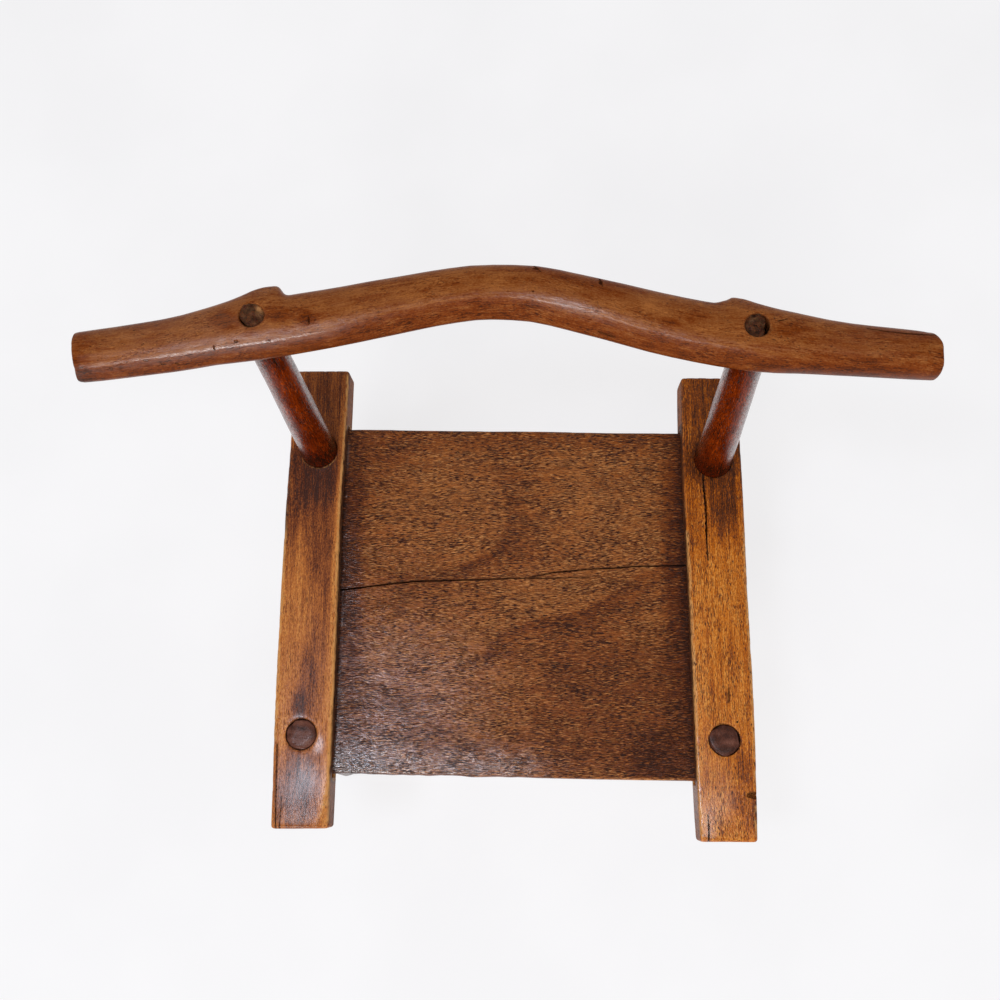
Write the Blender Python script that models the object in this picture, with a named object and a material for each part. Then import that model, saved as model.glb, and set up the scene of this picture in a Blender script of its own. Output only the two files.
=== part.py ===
"""A low Baule chair, all of wood and held by its joints alone.

A plank seat is housed in the inner faces of two side rails. Two front legs tenon through the rails. Two back
posts run through the rails as well: below them they are the rear legs, and above them they lean back and carry
a bowed backrest bar on round tenons. The legs and posts bite into the ends of the seat, so it cannot slide out.

The front of the chair faces -Y. While the pieces are made, x = 0 is midway between the rails, y = 0 is the mean
of the rails' front ends and z = 0 is the floor.
"""

import math

import bmesh
import bpy
from mathutils import Vector

# Side rails, in metres. The rails are hand set: the left one sits a little further back.
RAIL_LENGTH = 0.4694
RAIL_WIDTH = 0.058
RAIL_HEIGHT = 0.036
RAIL_SPACING = 0.354
RAIL_TOP = 0.285
RAIL_STAGGER = 0.012
RAIL_ARRIS = 0.0022

# Seat plank. Its tongues run SEAT_HOUSING deep into the rails, in grooves a little longer than it. The ledge is
# the wood of the rail that is left under it.
SEAT_THICKNESS = 0.016
SEAT_LEDGE = 0.007
SEAT_FRONT_SETBACK = 0.0541
SEAT_BACK_SETBACK = 0.0592
SEAT_SKEW = 0.0072
SEAT_HOUSING = 0.022
SEAT_EDGE_ROUND = 0.0025
GROOVE_SLACK = 0.004

# Front legs. The rake is how far forward of its tenon a leg meets the floor.
LEG_TENON_DIAMETER = 0.030
LEG_SHOULDER_DIAMETER = 0.048
LEG_FOOT_DIAMETER = 0.038
LEG_RAKE = 0.0225
LEFT_LEG_FROM_FRONT = 0.0894
RIGHT_LEG_FROM_FRONT = 0.0954
LEFT_LEG_OUTSET = 0.002
RIGHT_LEG_OUTSET = 0.0005

# Back posts. Below the rail they rake back to the floor, above it they lean back to the backrest.
LEFT_POST_DIAMETER = 0.037
RIGHT_POST_DIAMETER = 0.0385
LEFT_POST_TOP_DIAMETER = 0.0305
RIGHT_POST_TOP_DIAMETER = 0.0315
POST_SHOULDER_DIAMETER = 0.050
POST_FOOT_DIAMETER = 0.038
POST_RAKE = 0.020
POST_LEAN_BACK = 0.042
LEFT_POST_LEAN_OUT = 0.011
RIGHT_POST_LEAN_OUT = -0.0022
LEFT_POST_FROM_BACK = 0.0885
RIGHT_POST_FROM_BACK = 0.090
LEFT_POST_OUTSET = -0.0045
RIGHT_POST_OUTSET = 0.0025
POST_TENON_DIAMETER = 0.020
LEFT_TENON_RECESS = 0.0015
RIGHT_TENON_RECESS = 0.003

# Backrest bar. Its rise is from the rail tops to its top, and its bow is how far its middle lies behind the
# line through the posts. The ends of its arms come forward of that line by their sweep.
BACKREST_LENGTH = 0.717
BACKREST_OFFSET = -0.003
BACKREST_RISE = 0.255
BACKREST_HEIGHT = 0.040
BACKREST_BOW = 0.039
BACKREST_MIDDLE_DEPTH = 0.0458
BACKREST_LEFT_DEPTH = 0.0500
BACKREST_RIGHT_DEPTH = 0.0525
LEFT_ARM_SWEEP = 0.0277
RIGHT_ARM_SWEEP = 0.0117
LEFT_ARM_MIDDLE_DEPTH = 0.0448
RIGHT_ARM_MIDDLE_DEPTH = 0.0433
LEFT_ARM_END_DEPTH = 0.0411
RIGHT_ARM_END_DEPTH = 0.0379
ARM_END_ROUND = 0.0015
SOCKET_DEPTH = 0.005
TENON_SETBACK = 0.003

# Lugs: the swelling on the back of the bar behind each tenon. It steps down sharply towards the middle of the
# bar. From its crest, measured outward from the tenon, it fades slowly towards the arm's end.
LEFT_LUG = 0.0108
RIGHT_LUG = 0.0075
LEFT_LUG_CREST = -0.004
RIGHT_LUG_CREST = -0.012
LEFT_LUG_STEP = 0.0243
RIGHT_LUG_STEP = 0.0245
LUG_STEP_WIDTH = 0.0038
LUG_FADE_END = 0.058

# Fit and finish
FIT = 0.0003
FOOT_ROUND = 0.003
TENON_CHAMFER = 0.0008
CUTTER_OVERRUN = 0.012
ROUND_SIDES = 24
BODY_STEPS = 6
BAR_SIDES = 24
BAR_STEP = 0.017
RAIL_STEP = 0.030
ARRIS_STEPS = 2
BAR_FULLNESS = 2.4
SHARP_ANGLE = math.radians(40)

# How the bow rises from post to post, as shares of the way across and of BACKREST_BOW
BOW_PROFILE = ((0.15, 0.33), (0.29, 0.66), (0.43, 0.96), (0.51, 1.0), (0.58, 0.95), (0.72, 0.61), (0.86, 0.24))
# How an arm comes forward from post to end, as shares of its length and of its sweep
ARM_PROFILE = ((0.22, 0.20), (0.5, 0.55))
# How each rail wanders from its front end to its back: share of its length, shift to the right, extra width
LEFT_RAIL_RUN = (
    (0.0, -0.0005, -0.0022), (0.10, -0.0003, -0.0014), (0.22, -0.0003, 0.0), (0.50, 0.0, 0.0006),
    (0.66, 0.0004, -0.0004), (0.78, 0.0019, -0.0004), (0.87, 0.0032, 0.0004), (1.0, 0.0040, 0.0010),
)
RIGHT_RAIL_RUN = (
    (0.0, 0.0006, -0.0030), (0.11, 0.0006, -0.0004), (0.25, 0.0016, 0.0010), (0.50, 0.0015, 0.0010),
    (0.76, 0.0012, 0.0036), (0.88, 0.0015, 0.0022), (1.0, 0.0023, 0.0005),
)

# Colours as red, green and blue in linear light, with a roughness
SEAT_FINISH = ((0.105, 0.042, 0.016), 0.38)
RAIL_FINISH = ((0.270, 0.120, 0.034), 0.42)
LEG_FINISH = ((0.085, 0.035, 0.018), 0.45)
POST_FINISH = ((0.105, 0.026, 0.007), 0.30)
BACKREST_FINISH = ((0.180, 0.062, 0.017), 0.36)

LEFT = -1
RIGHT = 1
SIDE_NAMES = {LEFT: "left", RIGHT: "right"}
LEG_FROM_FRONT = {LEFT: LEFT_LEG_FROM_FRONT, RIGHT: RIGHT_LEG_FROM_FRONT}
LEG_OUTSET = {LEFT: LEFT_LEG_OUTSET, RIGHT: RIGHT_LEG_OUTSET}
POST_FROM_BACK = {LEFT: LEFT_POST_FROM_BACK, RIGHT: RIGHT_POST_FROM_BACK}
POST_OUTSET = {LEFT: LEFT_POST_OUTSET, RIGHT: RIGHT_POST_OUTSET}
POST_LEAN_OUT = {LEFT: LEFT_POST_LEAN_OUT, RIGHT: RIGHT_POST_LEAN_OUT}
TENON_RECESS = {LEFT: LEFT_TENON_RECESS, RIGHT: RIGHT_TENON_RECESS}
ARM_SWEEP = {LEFT: LEFT_ARM_SWEEP, RIGHT: RIGHT_ARM_SWEEP}
POST_DIAMETER = {LEFT: LEFT_POST_DIAMETER, RIGHT: RIGHT_POST_DIAMETER}
POST_TOP_DIAMETER = {LEFT: LEFT_POST_TOP_DIAMETER, RIGHT: RIGHT_POST_TOP_DIAMETER}
BAR_DEPTH_AT_POST = {LEFT: BACKREST_LEFT_DEPTH, RIGHT: BACKREST_RIGHT_DEPTH}
ARM_MIDDLE_DEPTH = {LEFT: LEFT_ARM_MIDDLE_DEPTH, RIGHT: RIGHT_ARM_MIDDLE_DEPTH}
ARM_END_DEPTH = {LEFT: LEFT_ARM_END_DEPTH, RIGHT: RIGHT_ARM_END_DEPTH}
LUG = {LEFT: LEFT_LUG, RIGHT: RIGHT_LUG}
LUG_CREST = {LEFT: LEFT_LUG_CREST, RIGHT: RIGHT_LUG_CREST}
LUG_STEP = {LEFT: LEFT_LUG_STEP, RIGHT: RIGHT_LUG_STEP}
RAIL_RUN = {LEFT: LEFT_RAIL_RUN, RIGHT: RIGHT_RAIL_RUN}

SEAT_DEPTH = RAIL_LENGTH - SEAT_FRONT_SETBACK - SEAT_BACK_SETBACK

# Heights above the rail tops, where legs and posts have their origins
RAIL_UNDERSIDE = -RAIL_HEIGHT
FLOOR = -RAIL_TOP
BAR_MIDDLE = BACKREST_RISE - BACKREST_HEIGHT / 2
BAR_SHOULDER = BACKREST_RISE - BACKREST_HEIGHT + SOCKET_DEPTH - FIT


def clear_scene():
    for item in list(bpy.data.objects):
        bpy.data.objects.remove(item, do_unlink=True)


def wood(name, finish):
    colour, roughness = finish
    material = bpy.data.materials.new(name)
    material.use_nodes = True
    shader = material.node_tree.nodes["Principled BSDF"]
    shader.inputs["Base Color"].default_value = (*colour, 1.0)
    shader.inputs["Roughness"].default_value = roughness
    shader.inputs["Metallic"].default_value = 0.0
    return material


def add_object(name, bm, parent, location):
    bmesh.ops.recalc_face_normals(bm, faces=bm.faces)
    mesh = bpy.data.meshes.new(name)
    bm.to_mesh(mesh)
    bm.free()
    mesh.shade_smooth()
    mesh.set_sharp_from_angle(angle=SHARP_ANGLE)
    item = bpy.data.objects.new(name, mesh)
    bpy.context.scene.collection.objects.link(item)
    item.parent = parent
    item.location = location
    return item


def add_piece(name, bm, parent, location, finish):
    piece = add_object(name, bm, parent, location)
    piece.data.materials.append(wood(name + "_wood", finish))
    return piece


def add_cutter(name, bm, parent, location):
    cutter = add_object(name, bm, parent, location)
    cutter.hide_render = True
    cutter.display_type = "WIRE"
    return cutter


def cut(piece, cutters):
    for cutter in cutters:
        boolean = piece.modifiers.new(cutter.name, "BOOLEAN")
        boolean.operation = "DIFFERENCE"
        boolean.solver = "EXACT"
        boolean.object = cutter


def loft(rings):
    """A closed skin through rings of as many points each, with flat ends."""
    bm = bmesh.new()
    loops = [[bm.verts.new(point) for point in ring] for ring in rings]
    for lower, upper in zip(loops, loops[1:]):
        for i in range(len(lower)):
            j = (i + 1) % len(lower)
            bm.faces.new((lower[i], lower[j], upper[j], upper[i]))
    bm.faces.new(reversed(loops[0]))
    bm.faces.new(loops[-1])
    return bm


def round_member(profile, axis):
    """A round piece of wood from (height, radius) pairs, its level sections centred on axis(height)."""
    rings = []
    for height, radius in profile:
        middle = axis(height)
        turns = (2 * math.pi * i / ROUND_SIDES for i in range(ROUND_SIDES))
        rings.append([middle + Vector((radius * math.cos(t), radius * math.sin(t), 0)) for t in turns])
    return loft(rings)


def smooth_through(knots, x):
    """The height at x of a smooth curve through (x, height) knots."""
    last = len(knots) - 1

    def slope(i):
        (x0, h0), (x1, h1) = knots[max(i - 1, 0)], knots[min(i + 1, last)]
        return (h1 - h0) / (x1 - x0)

    i = max(k for k in range(last) if k == 0 or knots[k][0] <= x)
    (x0, h0), (x1, h1) = knots[i], knots[i + 1]
    span = x1 - x0
    t = (x - x0) / span
    rise = t * t * (3 - 2 * t)
    leave = t * (1 - t) ** 2
    arrive = t * t * (t - 1)
    return h0 + (h1 - h0) * rise + span * (slope(i) * leave + slope(i + 1) * arrive)


def rail_x(side):
    return side * (RAIL_SPACING + RAIL_WIDTH) / 2


def rail_front(side):
    return -side * RAIL_STAGGER / 2


def leg_place(side):
    x = rail_x(side) + side * LEG_OUTSET[side]
    return Vector((x, rail_front(side) + LEG_FROM_FRONT[side], RAIL_TOP))


def post_place(side):
    x = rail_x(side) + side * POST_OUTSET[side]
    return Vector((x, rail_front(side) + RAIL_LENGTH - POST_FROM_BACK[side], RAIL_TOP))


def upright_axis(height):
    return Vector((0, 0, height))


def leg_axis(height):
    """A front leg is straight: it rakes forward all the way down from the top of its tenon."""
    return Vector((0, LEG_RAKE * height / RAIL_TOP, height))


def post_axis(side):
    """A post is upright in the rail, rakes back below it and leans back above it."""

    def axis(height):
        below = max(RAIL_UNDERSIDE - height, 0) / (RAIL_UNDERSIDE - FLOOR)
        above = max(height, 0) / BACKREST_RISE
        x = side * POST_LEAN_OUT[side] * above
        return Vector((x, POST_RAKE * below + POST_LEAN_BACK * above, height))

    return axis


def post_radius(side, height):
    """The post's radius between the rail and the shoulder under the backrest."""
    share = max(height, 0) / BAR_SHOULDER
    return (POST_DIAMETER[side] + (POST_TOP_DIAMETER[side] - POST_DIAMETER[side]) * share) / 2


def leg_body(foot_diameter, shoulder_diameter):
    """(height, radius) pairs from the floor up to the shoulder under the rail, swelling towards the top."""
    foot, shoulder = foot_diameter / 2, shoulder_diameter / 2
    bottom, top = FLOOR + FOOT_ROUND, RAIL_UNDERSIDE - FIT
    profile = [(FLOOR, foot - FOOT_ROUND)]
    for i in range(BODY_STEPS + 1):
        t = i / BODY_STEPS
        swell = math.sin(t * math.pi / 2)
        profile.append((bottom + (top - bottom) * t, foot + (shoulder - foot) * swell))
    return profile


def tenon_end(top, radius):
    return [(top - TENON_CHAMFER, radius), (top, radius - TENON_CHAMFER)]


def make_front_leg(side, chair):
    tenon = LEG_TENON_DIAMETER / 2
    profile = leg_body(LEG_FOOT_DIAMETER, LEG_SHOULDER_DIAMETER)
    profile += [(RAIL_UNDERSIDE - FIT, tenon)] + tenon_end(0, tenon)
    name = SIDE_NAMES[side] + "_front_leg"
    add_piece(name, round_member(profile, leg_axis), chair, leg_place(side), LEG_FINISH)


def make_leg_bore(side, chair):
    radius = LEG_TENON_DIAMETER / 2 + FIT
    profile = [(RAIL_UNDERSIDE - CUTTER_OVERRUN, radius), (CUTTER_OVERRUN, radius)]
    name = SIDE_NAMES[side] + "_leg_bore"
    return add_cutter(name, round_member(profile, leg_axis), chair, leg_place(side))


def make_back_post(side, chair):
    tenon = POST_TENON_DIAMETER / 2
    profile = leg_body(POST_FOOT_DIAMETER, POST_SHOULDER_DIAMETER)
    in_rail = post_radius(side, 0)
    profile += [(RAIL_UNDERSIDE - FIT, in_rail), (RAIL_UNDERSIDE, in_rail)]
    for i in range(BODY_STEPS + 1):
        height = BAR_SHOULDER * i / BODY_STEPS
        profile.append((height, post_radius(side, height)))
    profile += [(BAR_SHOULDER, tenon)] + tenon_end(BACKREST_RISE - TENON_RECESS[side], tenon)
    name = SIDE_NAMES[side] + "_back_post"
    add_piece(name, round_member(profile, post_axis(side)), chair, post_place(side), POST_FINISH)


def make_post_bore(side, chair):
    radius = post_radius(side, 0) + FIT
    profile = [(RAIL_UNDERSIDE - CUTTER_OVERRUN, radius), (CUTTER_OVERRUN, radius)]
    name = SIDE_NAMES[side] + "_post_bore"
    return add_cutter(name, round_member(profile, upright_axis), chair, post_place(side))


def make_post_socket(side, chair):
    """What the top of a post takes out of the backrest: a shallow socket and a hole right through."""
    below = BAR_SHOULDER - SOCKET_DEPTH - CUTTER_OVERRUN
    tenon = POST_TENON_DIAMETER / 2 + FIT
    profile = [
        (below, post_radius(side, below) + FIT),
        (BAR_SHOULDER + FIT, post_radius(side, BAR_SHOULDER) + FIT),
        (BAR_SHOULDER + FIT, tenon),
        (BACKREST_RISE + CUTTER_OVERRUN, tenon),
    ]
    name = SIDE_NAMES[side] + "_post_socket"
    return add_cutter(name, round_member(profile, post_axis(side)), chair, post_place(side))


def arris_turns():
    return [math.pi / 2 * i / ARRIS_STEPS for i in range(ARRIS_STEPS + 1)]


def rail_section(side, y, shrink):
    """A rail's outline at y from its front end, with eased corners, made smaller all round by shrink."""
    share = y / RAIL_LENGTH
    shift = smooth_through([(place, shift) for place, shift, _ in RAIL_RUN[side]], share)
    extra = smooth_through([(place, extra) for place, _, extra in RAIL_RUN[side]], share)
    across = (RAIL_WIDTH + extra) / 2 - shrink - RAIL_ARRIS
    up = RAIL_HEIGHT / 2 - shrink - RAIL_ARRIS
    points = []
    for quarter, (x_sign, z_sign) in enumerate(((1, 1), (-1, 1), (-1, -1), (1, -1))):
        for turn in arris_turns():
            angle = quarter * math.pi / 2 + turn
            x = shift + x_sign * across + RAIL_ARRIS * math.cos(angle)
            points.append(Vector((x, y, z_sign * up + RAIL_ARRIS * math.sin(angle))))
    return points


def make_rail(side, chair, cutters):
    eased = [(RAIL_ARRIS * (1 - math.sin(turn)), RAIL_ARRIS * (1 - math.cos(turn))) for turn in arris_turns()]
    steps = round(RAIL_LENGTH / RAIL_STEP)
    span = RAIL_LENGTH - 2 * RAIL_ARRIS
    stations = [(y, shrink) for shrink, y in eased[:-1]]
    stations += [(RAIL_ARRIS + span * i / steps, 0) for i in range(steps + 1)]
    stations += [(RAIL_LENGTH - y, shrink) for shrink, y in reversed(eased[:-1])]
    bm = loft([rail_section(side, y, shrink) for y, shrink in stations])
    place = (rail_x(side), rail_front(side), RAIL_TOP - RAIL_HEIGHT / 2)
    cut(add_piece(SIDE_NAMES[side] + "_rail", bm, chair, place, RAIL_FINISH), cutters)


def board(half_width, half_depth, half_thickness):
    """A flat board whose front and back edges keep the seat's skew."""
    bm = bmesh.new()
    bmesh.ops.create_cube(bm, size=2)
    for vert in bm.verts:
        x = vert.co.x * half_width
        skew = -SEAT_SKEW * x / RAIL_SPACING
        vert.co = (x, vert.co.y * half_depth + skew, vert.co.z * half_thickness)
    return bm


def seat_place():
    height = RAIL_TOP - RAIL_HEIGHT + SEAT_LEDGE + SEAT_THICKNESS / 2
    return Vector((0, SEAT_FRONT_SETBACK + SEAT_DEPTH / 2, height))


def make_seat(chair, cutters):
    half_width = RAIL_SPACING / 2 + SEAT_HOUSING
    bm = board(half_width, SEAT_DEPTH / 2, SEAT_THICKNESS / 2)
    long_edges = [edge for edge in bm.edges if abs(edge.verts[0].co.x - edge.verts[1].co.x) > half_width]
    bmesh.ops.bevel(bm, geom=long_edges, offset=SEAT_EDGE_ROUND, segments=2, profile=0.5, affect="EDGES")
    cut(add_piece("seat_board", bm, chair, seat_place(), SEAT_FINISH), cutters)


def make_seat_groove(chair):
    """The grooves in both rails, as one slab that clears the seat's faces and runs past its ends."""
    half_width = RAIL_SPACING / 2 + SEAT_HOUSING + FIT
    bm = board(half_width, SEAT_DEPTH / 2 + GROOVE_SLACK, SEAT_THICKNESS / 2 + FIT)
    return add_cutter("seat_groove", bm, chair, seat_place())


def bar_tenon(side):
    """Where the axis of a post's tenon crosses the middle height of the bar, in plan."""
    crossing = post_place(side) + post_axis(side)(BAR_MIDDLE)
    return Vector((crossing.x, crossing.y))


def bar_end(side):
    return BACKREST_OFFSET + side * BACKREST_LENGTH / 2


def bar_spine_knots():
    """(x, y) knots of the bar's middle line, which passes just in front of both tenons."""
    left, right = bar_tenon(LEFT), bar_tenon(RIGHT)

    def behind_posts(x, distance):
        share = (x - left.x) / (right.x - left.x)
        return (x, left.y + (right.y - left.y) * share - TENON_SETBACK + distance)

    def arm(side, share, sweep_share):
        start = bar_tenon(side).x
        return behind_posts(start + (bar_end(side) - start) * share, -ARM_SWEEP[side] * sweep_share)

    left_arm = [arm(LEFT, *place) for place in reversed(ARM_PROFILE)]
    right_arm = [arm(RIGHT, *place) for place in ARM_PROFILE]
    bow = [behind_posts(left.x + (right.x - left.x) * s, BACKREST_BOW * h) for s, h in BOW_PROFILE]
    knots = [arm(LEFT, 1, 1)] + left_arm + [behind_posts(left.x, 0)] + bow
    return knots + [behind_posts(right.x, 0)] + right_arm + [arm(RIGHT, 1, 1)]


def bar_depth_knots():
    knots = [((bar_tenon(LEFT).x + bar_tenon(RIGHT).x) / 2, BACKREST_MIDDLE_DEPTH)]
    for side in (LEFT, RIGHT):
        tenon, end = bar_tenon(side).x, bar_end(side)
        knots += [(tenon, BAR_DEPTH_AT_POST[side]), ((tenon + end) / 2, ARM_MIDDLE_DEPTH[side])]
        knots += [(end, ARM_END_DEPTH[side])]
    return sorted(knots)


def lug_at(x):
    """How far the lugs push the back of the bar out at x."""
    total = 0.0
    for side in (LEFT, RIGHT):
        outward = side * (x - bar_tenon(side).x)
        step = (outward + LUG_STEP[side] + LUG_STEP_WIDTH) / LUG_STEP_WIDTH
        fade = 1 - max(outward - LUG_CREST[side], 0) / (LUG_FADE_END - LUG_CREST[side])
        total += LUG[side] * min(max(step, 0), 1) * max(fade, 0) ** 2
    return total


def bar_stations():
    """Where the bar's sections lie along x: evenly spread, and on the corners of its ends and lugs."""
    marks = []
    for side in (LEFT, RIGHT):
        tenon = bar_tenon(side).x
        marks += [bar_end(side), bar_end(side) - side * ARM_END_ROUND, tenon + side * LUG_FADE_END]
        marks += [tenon, tenon - side * LUG_STEP[side]]
        marks += [tenon - side * (LUG_STEP[side] + LUG_STEP_WIDTH)]
    marks.sort()
    stations = []
    for start, stop in zip(marks, marks[1:]):
        steps = max(round((stop - start) / BAR_STEP), 1)
        stations += [start + (stop - start) * i / steps for i in range(steps)]
    return stations + [marks[-1]]


def bar_section(x, shrink):
    """The bar's outline square to its middle line at x, made smaller all round by shrink."""
    spine, depths = bar_spine_knots(), bar_depth_knots()
    reach = ARM_END_ROUND / 2
    before, after = max(x - reach, spine[0][0]), min(x + reach, spine[-1][0])
    along = Vector((after - before, smooth_through(spine, after) - smooth_through(spine, before)))
    across = Vector((-along.y, along.x)).normalized()
    middle = Vector((x, smooth_through(spine, x)))
    half_depth = smooth_through(depths, x) / 2 - shrink
    half_height = BACKREST_HEIGHT / 2 - shrink
    points = []
    for i in range(BAR_SIDES):
        turn = 2 * math.pi * i / BAR_SIDES
        c, s = math.cos(turn), math.sin(turn)
        back = math.copysign(abs(c) ** (2 / BAR_FULLNESS), c)
        up = math.copysign(abs(s) ** (2 / BAR_FULLNESS), s)
        depth = half_depth + (lug_at(x) if back > 0 else 0)
        place = middle + across * back * depth
        points.append(Vector((place.x, place.y, up * half_height)))
    return points


def make_backrest(chair, cutters):
    stations = bar_stations()
    shrinks = [ARM_END_ROUND if x in (stations[0], stations[-1]) else 0 for x in stations]
    bm = loft([bar_section(x, shrink) for x, shrink in zip(stations, shrinks)])
    place = (0, 0, RAIL_TOP + BAR_MIDDLE)
    cut(add_piece("backrest", bm, chair, place, BACKREST_FINISH), cutters)


def centre_on_floor(chair):
    """Moves the chair so that the origin is on the floor, midway along its width and its depth."""
    corners = []
    for piece in chair.children:
        if not piece.hide_render:
            corners += [piece.location + vert.co for vert in piece.data.vertices]
    for axis in (0, 1):
        values = [corner[axis] for corner in corners]
        chair.location[axis] = -(min(values) + max(values)) / 2


def main():
    clear_scene()
    chair = bpy.data.objects.new("chair", None)
    bpy.context.scene.collection.objects.link(chair)
    groove = make_seat_groove(chair)
    bores = {side: [make_leg_bore(side, chair), make_post_bore(side, chair)] for side in (LEFT, RIGHT)}
    sockets = [make_post_socket(side, chair) for side in (LEFT, RIGHT)]
    for side in (LEFT, RIGHT):
        make_rail(side, chair, [groove] + bores[side])
        make_front_leg(side, chair)
        make_back_post(side, chair)
    make_seat(chair, bores[LEFT] + bores[RIGHT])
    make_backrest(chair, sockets)
    centre_on_floor(chair)


main()
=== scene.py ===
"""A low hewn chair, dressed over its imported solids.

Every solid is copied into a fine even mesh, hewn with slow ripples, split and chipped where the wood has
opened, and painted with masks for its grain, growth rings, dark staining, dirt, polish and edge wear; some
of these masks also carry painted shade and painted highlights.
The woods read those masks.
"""

import math

import bmesh
import bpy
import numpy as np
from mathutils import Matrix, Vector, noise


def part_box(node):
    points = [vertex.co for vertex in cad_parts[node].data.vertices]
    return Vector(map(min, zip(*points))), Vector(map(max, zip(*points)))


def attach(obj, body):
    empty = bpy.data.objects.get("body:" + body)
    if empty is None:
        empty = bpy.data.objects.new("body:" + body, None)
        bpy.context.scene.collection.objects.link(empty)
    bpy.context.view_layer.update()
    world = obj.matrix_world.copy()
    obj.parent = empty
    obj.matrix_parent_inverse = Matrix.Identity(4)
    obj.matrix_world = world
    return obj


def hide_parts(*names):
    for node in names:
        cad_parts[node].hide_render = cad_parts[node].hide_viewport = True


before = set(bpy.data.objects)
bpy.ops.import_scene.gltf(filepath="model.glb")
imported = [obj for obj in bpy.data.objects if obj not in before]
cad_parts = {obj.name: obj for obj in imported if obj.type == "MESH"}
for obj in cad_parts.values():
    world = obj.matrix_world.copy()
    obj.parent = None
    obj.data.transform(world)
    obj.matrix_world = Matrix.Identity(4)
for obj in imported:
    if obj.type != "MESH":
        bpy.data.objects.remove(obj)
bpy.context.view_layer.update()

# Camera: above the front of the seat, looking down and a little to the back
CAMERA_PLACE = Vector((0.02227, -0.17664, 1.385))
CAMERA_FORWARD = Vector((-0.0274, 0.2400, -0.9704)).normalized()
CAMERA_RIGHT = Vector((0.9996, 0.0, -0.0282)).normalized()
CAMERA_LENS = 39.6
CAMERA_SENSOR = 36.0

# Stage
FLOOR_SIZE = 12.0
FLOOR_DROP = 0.0004
FLOOR_TONE = (249, 248, 249)
FLOOR_GLOW = 0.76
HORIZON = 0.92
ZENITH = 0.25
SKY_TONE = (0.98, 0.99, 1.0)
LIGHT_AIM = Vector((0.0, 0.0, 0.27))
# Lights: (name, place, size, watts, tone)
LIGHTS = (
    ("window", (-0.6, -2.7, 1.9), (0.8, 0.45), 34.0, (0.96, 0.98, 1.0)),
    ("skylight", (-0.75, -0.35, 3.0), (0.4, 0.4), 18.0, (0.80, 0.86, 1.0)),
    ("ceiling strip", (0.15, -0.85, 3.0), (1.8, 0.5), 14.0, (1.0, 0.98, 0.95)),
)

# How fine the meshes are, and how much their corners are eased
SEAT_VOXEL = 0.0019
RAIL_VOXEL = 0.0013
LEG_VOXEL = 0.0015
POST_VOXEL = 0.0012
BAR_VOXEL = 0.00125
FLAT_EASE = 3
ROUND_EASE = 12
SHARP_ANGLE = math.radians(48)


# Tables

MM = 0.001


def metres(*rows, plain=0):
    """Rows given in millimetres, turned into metres but for the last plain values of each."""
    lengths = [len(row) - plain for row in rows]
    return tuple(tuple(value * MM for value in row[:n]) + row[n:] for row, n in zip(rows, lengths))


def opened(depth, *knots):
    """A split, given in millimetres: its (x, y, width) knots and its depth."""
    return metres(*knots), depth * MM


# Meshes

def new_object(name, mesh):
    made = bpy.data.objects.new(name, mesh)
    bpy.context.scene.collection.objects.link(made)
    return made


def object_from(bm, name):
    mesh = bpy.data.meshes.new(name)
    bm.to_mesh(mesh)
    bm.free()
    return new_object(name, mesh)


def apply_modifiers(piece):
    bpy.context.view_layer.update()
    graph = bpy.context.evaluated_depsgraph_get()
    done = bpy.data.meshes.new_from_object(piece.evaluated_get(graph))
    before = piece.data
    piece.modifiers.clear()
    piece.data = done
    bpy.data.meshes.remove(before)


def blank(node, name, voxel):
    """A fine even mesh of a solid's shape, as a new object."""
    bm = bmesh.new()
    bm.from_mesh(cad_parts[node].data)
    bmesh.ops.remove_doubles(bm, verts=bm.verts, dist=1e-6)
    piece = object_from(bm, name)
    even = piece.modifiers.new("even faces", "REMESH")
    even.mode = "VOXEL"
    even.voxel_size = voxel
    apply_modifiers(piece)
    return piece


def vectors(rows, field):
    flat = np.empty(len(rows) * 3, np.float32)
    rows.foreach_get(field, flat)
    return flat.reshape(-1, 3).astype(float)


def points_of(mesh):
    return vectors(mesh.vertices, "co")


def normals_of(mesh):
    return vectors(mesh.vertex_normals, "vector")


def move_points(mesh, points):
    mesh.vertices.foreach_set("co", points.astype(np.float32).ravel())
    mesh.update()


def neighbour_mean(mesh):
    """A function that averages values over each point's neighbours."""
    pairs = np.empty(len(mesh.edges) * 2, np.int32)
    mesh.edges.foreach_get("vertices", pairs)
    a, b = pairs.reshape(-1, 2).T
    ends, others = np.concatenate([a, b]), np.concatenate([b, a])
    total = len(mesh.vertices)
    count = np.maximum(np.bincount(ends, minlength=total), 1)
    return lambda values: np.bincount(ends, values[others], total) / count


def ease(piece, rounds, where=1.0):
    """Rounds off facets and corners, more where the share is higher."""
    points, mean = points_of(piece.data), neighbour_mean(piece.data)
    for _ in range(rounds):
        for i in range(3):
            points[:, i] += 0.5 * where * (mean(points[:, i]) - points[:, i])
    move_points(piece.data, points)


def ripple(points, wavelengths, shift):
    """Smooth noise from -1 to 1, with its own wavelength along each axis."""
    return np.array([noise.noise(place) for place in points / np.array(wavelengths) + shift])


def ramp(values, low, high):
    """0 below low, 1 above high, eased between them."""
    share = np.clip((values - low) / (high - low), 0, 1)
    return share * share * (3 - 2 * share)


def inside(values, low, high, edge):
    """1 between low and high, eased to 0 over an edge at each end."""
    return ramp(values, low, low + edge) * ramp(-values, -high, edge - high)


def hew(piece, ripples, where=1.0):
    """Pushes the surface in and out by slow ripples: (wavelengths along x, y and z, depth, shift)."""
    points = points_of(piece.data)
    push = sum(depth * ripple(points, lengths, shift) for lengths, depth, shift in ripples)
    move_points(piece.data, points + normals_of(piece.data) * (push * where)[:, None])


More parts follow.
